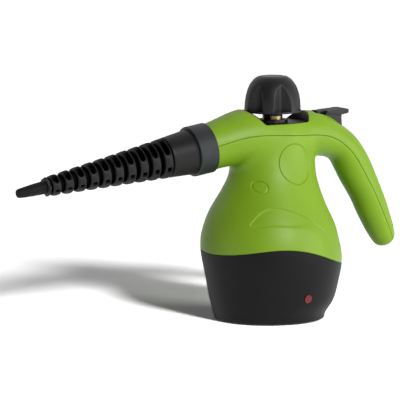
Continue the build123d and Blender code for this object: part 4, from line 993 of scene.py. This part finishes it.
# Heat guard
# One graphite moulding guards the hot pipe: a smooth cone, then ten ribs that shrink towards the tip with deep
# grooves between, each pierced by two round-ended windows over the top and a small square vent in each flank. Eight
# small knobs stand on the ring at its end.
GRAPHITE = (0.0085, 0.0085, 0.0090)
MOUTH = np.array([-SPOUT_REACH, 0.0, BRIDGE_Z - SPOUT_SHARES[0][1] * SPOUT_R])
TILT = math.radians(NOZZLE_TILT)
GUARD_START = ((15.7, 20.20), (19.7, 20.20), (19.7, 21.30), (19.9, 21.65), (20.3, 21.76))
GUARD_CONE = ((24.0, 21.42), (28.5, 21.01), (33.0, 20.60), (37.5, 20.19), (42.0, 19.78), (45.2, 19.49),
              (45.9, 19.25), (46.2, 18.70), (46.2, 12.40))
RIB_COUNT = 10
RIB_FIRST = 51.52 * MM
RIB_PITCH = 12.88 * MM
RIB_W = 8.4 * MM
RIB_FIRST_R = 18.9 * MM
RIB_LAST_R = 9.7 * MM
RIB_CROWN = 0.35 * MM
RIB_ROUND = 1.2 * MM
RIB_TURNS = np.radians([0, 30, 60, 90])
RIB_PLACES = (-0.45, -0.15, 0.15, 0.45)
GROOVE_SHARE = 0.60
# Painted shade: below this depth under a rib's top a groove turns black, fully over this share of the rib's radius
GROOVE_DARK = 1.0 * MM
GROOVE_DARK_SHARE = 0.25
CONE_END = 46.0 * MM
GUARD_END = ((173.2, 6.10), (173.2, 7.60), (173.5, 8.20), (174.2, 8.50), (175.7, 8.50), (176.4, 8.10), (176.64, 7.30),
             (176.64, 4.45))
BORE_MIX = (0.93, 0.07)
BORE = ((15.7, 18.6), (19.6, 18.6), (46.2, 10.6), (167.4, 4.55), (170.6, 4.45), (176.65, 4.40))
GUARD_COLUMNS = 168
WINDOW_W = 5.6 * MM
WINDOW_TURN = np.radians((5.0, 72.5))
VENT_W = 4.3 * MM
VENT_TURN = np.radians((110.0, 129.5))
VENT_CORNER_R = 0.5 * MM
OPENING_LIP = 0.6 * MM
OPENING_SHARES = (0.0, 0.25, 1.0)
OPENING_REACH = (0.24 * MM, 0.04 * MM)
KNOB_COUNT = 8
KNOB_SPAN = (173.3 * MM, 176.6 * MM)
KNOB_FOOT_R = 8.0 * MM
KNOB_H = 0.8 * MM
UNROLL_R = 15.0 * MM


def rib_radius(index):
    """Radius of a rib: an even taper from the first to the last."""
    return RIB_FIRST_R + (RIB_LAST_R - RIB_FIRST_R) * index / (RIB_COUNT - 1)


def guard_outline():
    """Place along the nozzle and radius of each ring: cone, ribs with rounded shoulders and grooves, end ring."""
    rows = [(place * MM, radius * MM) for place, radius in GUARD_START + GUARD_CONE]
    slope = (RIB_FIRST_R - RIB_LAST_R) / (RIB_PITCH * (RIB_COUNT - 1))
    for index in range(RIB_COUNT):
        middle, radius = RIB_FIRST + RIB_PITCH * index, rib_radius(index)
        groove = radius * GROOVE_SHARE
        half = RIB_W / 2
        rows.append((middle - half, groove))
        rows += [(middle - half + RIB_ROUND * (1 - math.cos(a)),
                  radius + slope * half - RIB_ROUND * (1 - math.sin(a))) for a in RIB_TURNS]
        rows += [(middle + part * half, radius - slope * part * half + RIB_CROWN * (1 - part * part))
                 for part in RIB_PLACES]
        rows += [(middle + half - RIB_ROUND * (1 - math.cos(a)),
                  radius - slope * half - RIB_ROUND * (1 - math.sin(a))) for a in RIB_TURNS[::-1]]
        rows.append((middle + half, groove))
    rows += [(place * MM, radius * MM) for place, radius in GUARD_END]
    return np.array(rows)


OUTLINE = guard_outline()
OUTLINE_REACH = length_along(OUTLINE)


def opening_value(reach, arc, _):
    """Distance outside the nearest opening on the unrolled guard, which is flat and so needs two places only: a
    round-ended window near the top of each rib and a square vent in each flank, both the same on the other side."""
    place = np.interp(reach, OUTLINE_REACH, OUTLINE[:, 0])
    index = np.clip(np.round((place - RIB_FIRST) / RIB_PITCH), 0, RIB_COUNT - 1)
    across = place - RIB_FIRST - RIB_PITCH * index
    radius = rib_radius(index)
    turn = np.abs(arc) / UNROLL_R
    half = (WINDOW_TURN[1] - WINDOW_TURN[0]) / 2
    along = np.maximum(np.abs(turn - WINDOW_TURN[0] - half) * radius - (half * radius - WINDOW_W / 2), 0)
    window = np.hypot(across, along) - WINDOW_W / 2
    half = (VENT_TURN[1] - VENT_TURN[0]) / 2
    along = np.abs(turn - VENT_TURN[0] - half) * radius - half * radius
    return np.minimum(window, rounded_both(np.abs(across) - VENT_W / 2, along, VENT_CORNER_R))


def about_nozzle(place, radius, turn):
    """Points about the nozzle's axis: mouth + place x ahead + radius x (cosine x above + sine x side) of the turn
    from its upper side."""
    ahead = np.array([-math.cos(TILT), 0, -math.sin(TILT)])
    above = np.array([-math.sin(TILT), 0, math.cos(TILT)])
    side = np.array([0.0, -1.0, 0.0])
    place, radius, turn = (value[..., None] for value in (place, radius, turn))
    return MOUTH + ahead * place + (above * np.cos(turn) + side * np.sin(turn)) * radius


def heat_guard():
    """The unrolled guard is cut at its openings, rolled up with their edges rounded, and closed over its bore."""
    arcs = np.linspace(-math.pi, math.pi, GUARD_COLUMNS + 1) * UNROLL_R
    reach, arc = np.meshgrid(OUTLINE_REACH, arcs, indexing="ij")
    points = np.stack([reach, arc, 0 * arc], -1).reshape(-1, 3)
    index = np.arange(len(points)).reshape(reach.shape)
    faces = grid_faces(index)[:, [0, 2, 1]]
    for share in OPENING_SHARES:
        points, faces = score(points, faces, lambda x, y, z: opening_value(x, y, z) - share * OPENING_LIP,
                              OPENING_REACH[share > 0])
    faces = faces[opening_value(*points[faces].mean(axis=1).T) > 0]
    used, index = np.unique(faces, return_inverse=True)
    faces = index.reshape(faces.shape)
    reach, arc, _ = points[used].T
    place = np.interp(reach, OUTLINE_REACH, OUTLINE[:, 0])
    radius = np.interp(reach, OUTLINE_REACH, OUTLINE[:, 1])
    edge = lip(opening_value(reach, arc, 0), OPENING_LIP)
    turn = arc / UNROLL_R
    on_ring = (place > KNOB_SPAN[0]) & (place < KNOB_SPAN[1]) & (radius > KNOB_FOOT_R)
    knob = KNOB_H * np.maximum(np.cos(KNOB_COUNT * turn), 0) * on_ring
    outer = about_nozzle(place, radius - edge + knob, turn)
    outer, faces, first = weld(outer, faces)
    reach, place, radius, turn = (value[first] for value in (reach, place, radius, turn))
    start, end = OUTLINE[0, 0], OUTLINE[-1, 0]
    under = BORE_MIX[0] * place + BORE_MIX[1] * (start + (end - start) * reach / OUTLINE_REACH[-1])
    bore = np.array(BORE) * MM
    inner = about_nozzle(under, np.interp(under, bore[:, 0], bore[:, 1]), turn)
    piece = close_shell("heat_guard", outer, inner, faces)
    # Painted shade: each point's depth into a groove, and the whole bore, set as the attribute that blackens the
    # material
    index = np.clip((place - RIB_FIRST + RIB_PITCH / 2) / RIB_PITCH, 0, RIB_COUNT - 1)
    between = (place > CONE_END) & (place < RIB_FIRST + RIB_PITCH * (RIB_COUNT - 1) + RIB_PITCH / 2)
    full = GROOVE_DARK_SHARE * rib_radius(index)
    low = np.clip((rib_radius(index) - GROOVE_DARK - radius) / full, 0, 1) * between
    values = np.concatenate([low, np.ones(len(inner))])
    piece.data.attributes.new("painted_shade", "FLOAT", "POINT").data.foreach_set("value", values.astype(np.float32))
    return piece


# Graphite with painted shade in its grooves, window walls and bore
graphite = plastic("graphite_plastic", GRAPHITE, roughness=0.50, grain_height=0.00003, shine=0.25, painted_shade=True)
guard = heat_guard()
guard.data.materials.append(graphite)
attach(guard, "nozzle")
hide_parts("nozzle_guard")


# Steam pipe and jet tip
# The pipe inside the guard and the blunt tip are matt black plastic. The tip has eight soft flats behind its rounded
# end, and a fine bore.
TIP_BLACK = (0.0070, 0.0070, 0.0072)
TIP_ROWS = (
    (170.7, 1.40), (170.7, 4.30), (176.60, 4.30), (176.64, 5.80), (176.9, 6.15), (179.3, 6.25), (179.7, 6.20),
    (184.0, 6.05), (189.0, 5.75), (194.0, 5.40), (199.0, 5.00), (202.5, 4.65), (204.5, 4.25), (205.6, 3.65),
    (206.0, 2.80), (206.0, 1.40), (203.0, 1.40),
)
TIP_FLATS = 8
TIP_FLAT_SHARE = 0.955
TIP_COLLAR_END = 179.5 * MM
TIP_BORE_R = 2.0 * MM
TIP_COLUMNS = 96


def jet_tip():
    """Rings along the nozzle. Beyond the tip's short collar the radius is held inside an eight-sided outline: at most
    the flats' share of it / cosine of the turn off a flat's middle."""
    rows = np.array(TIP_ROWS) * MM
    turn = -np.arange(TIP_COLUMNS) * 2 * math.pi / TIP_COLUMNS
    pitch = 2 * math.pi / TIP_FLATS
    off = (turn + pitch / 2) % pitch - pitch / 2
    flatted = ((rows[:, 0] > TIP_COLLAR_END) & (rows[:, 1] > TIP_BORE_R))[:, None]
    radius = rows[:, 1:] * np.where(flatted, np.minimum(TIP_FLAT_SHARE / np.cos(off), 1.0), 1.0)
    place = np.repeat(rows[:, :1], TIP_COLUMNS, axis=1)
    points = about_nozzle(place, radius, np.repeat(turn[None, :], len(rows), axis=0)).reshape(-1, 3)
    closed = np.concatenate([np.arange(len(rows)), [0]])
    index = np.arange(len(points)).reshape(len(rows), TIP_COLUMNS)[closed].reshape(-1)
    points, faces, _ = weld(points, index[ring_faces(len(rows) + 1, TIP_COLUMNS)])
    return make_piece("jet_tip", points, faces, 35.0)


tip_black = plastic("tip_plastic", TIP_BLACK, roughness=0.60, grain_height=0.00003, shine=0.15)
tip = jet_tip()
tip.data.materials.append(tip_black)
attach(tip, "nozzle")
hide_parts("nozzle_tip")
dress(matt_black, "nozzle_pipe")
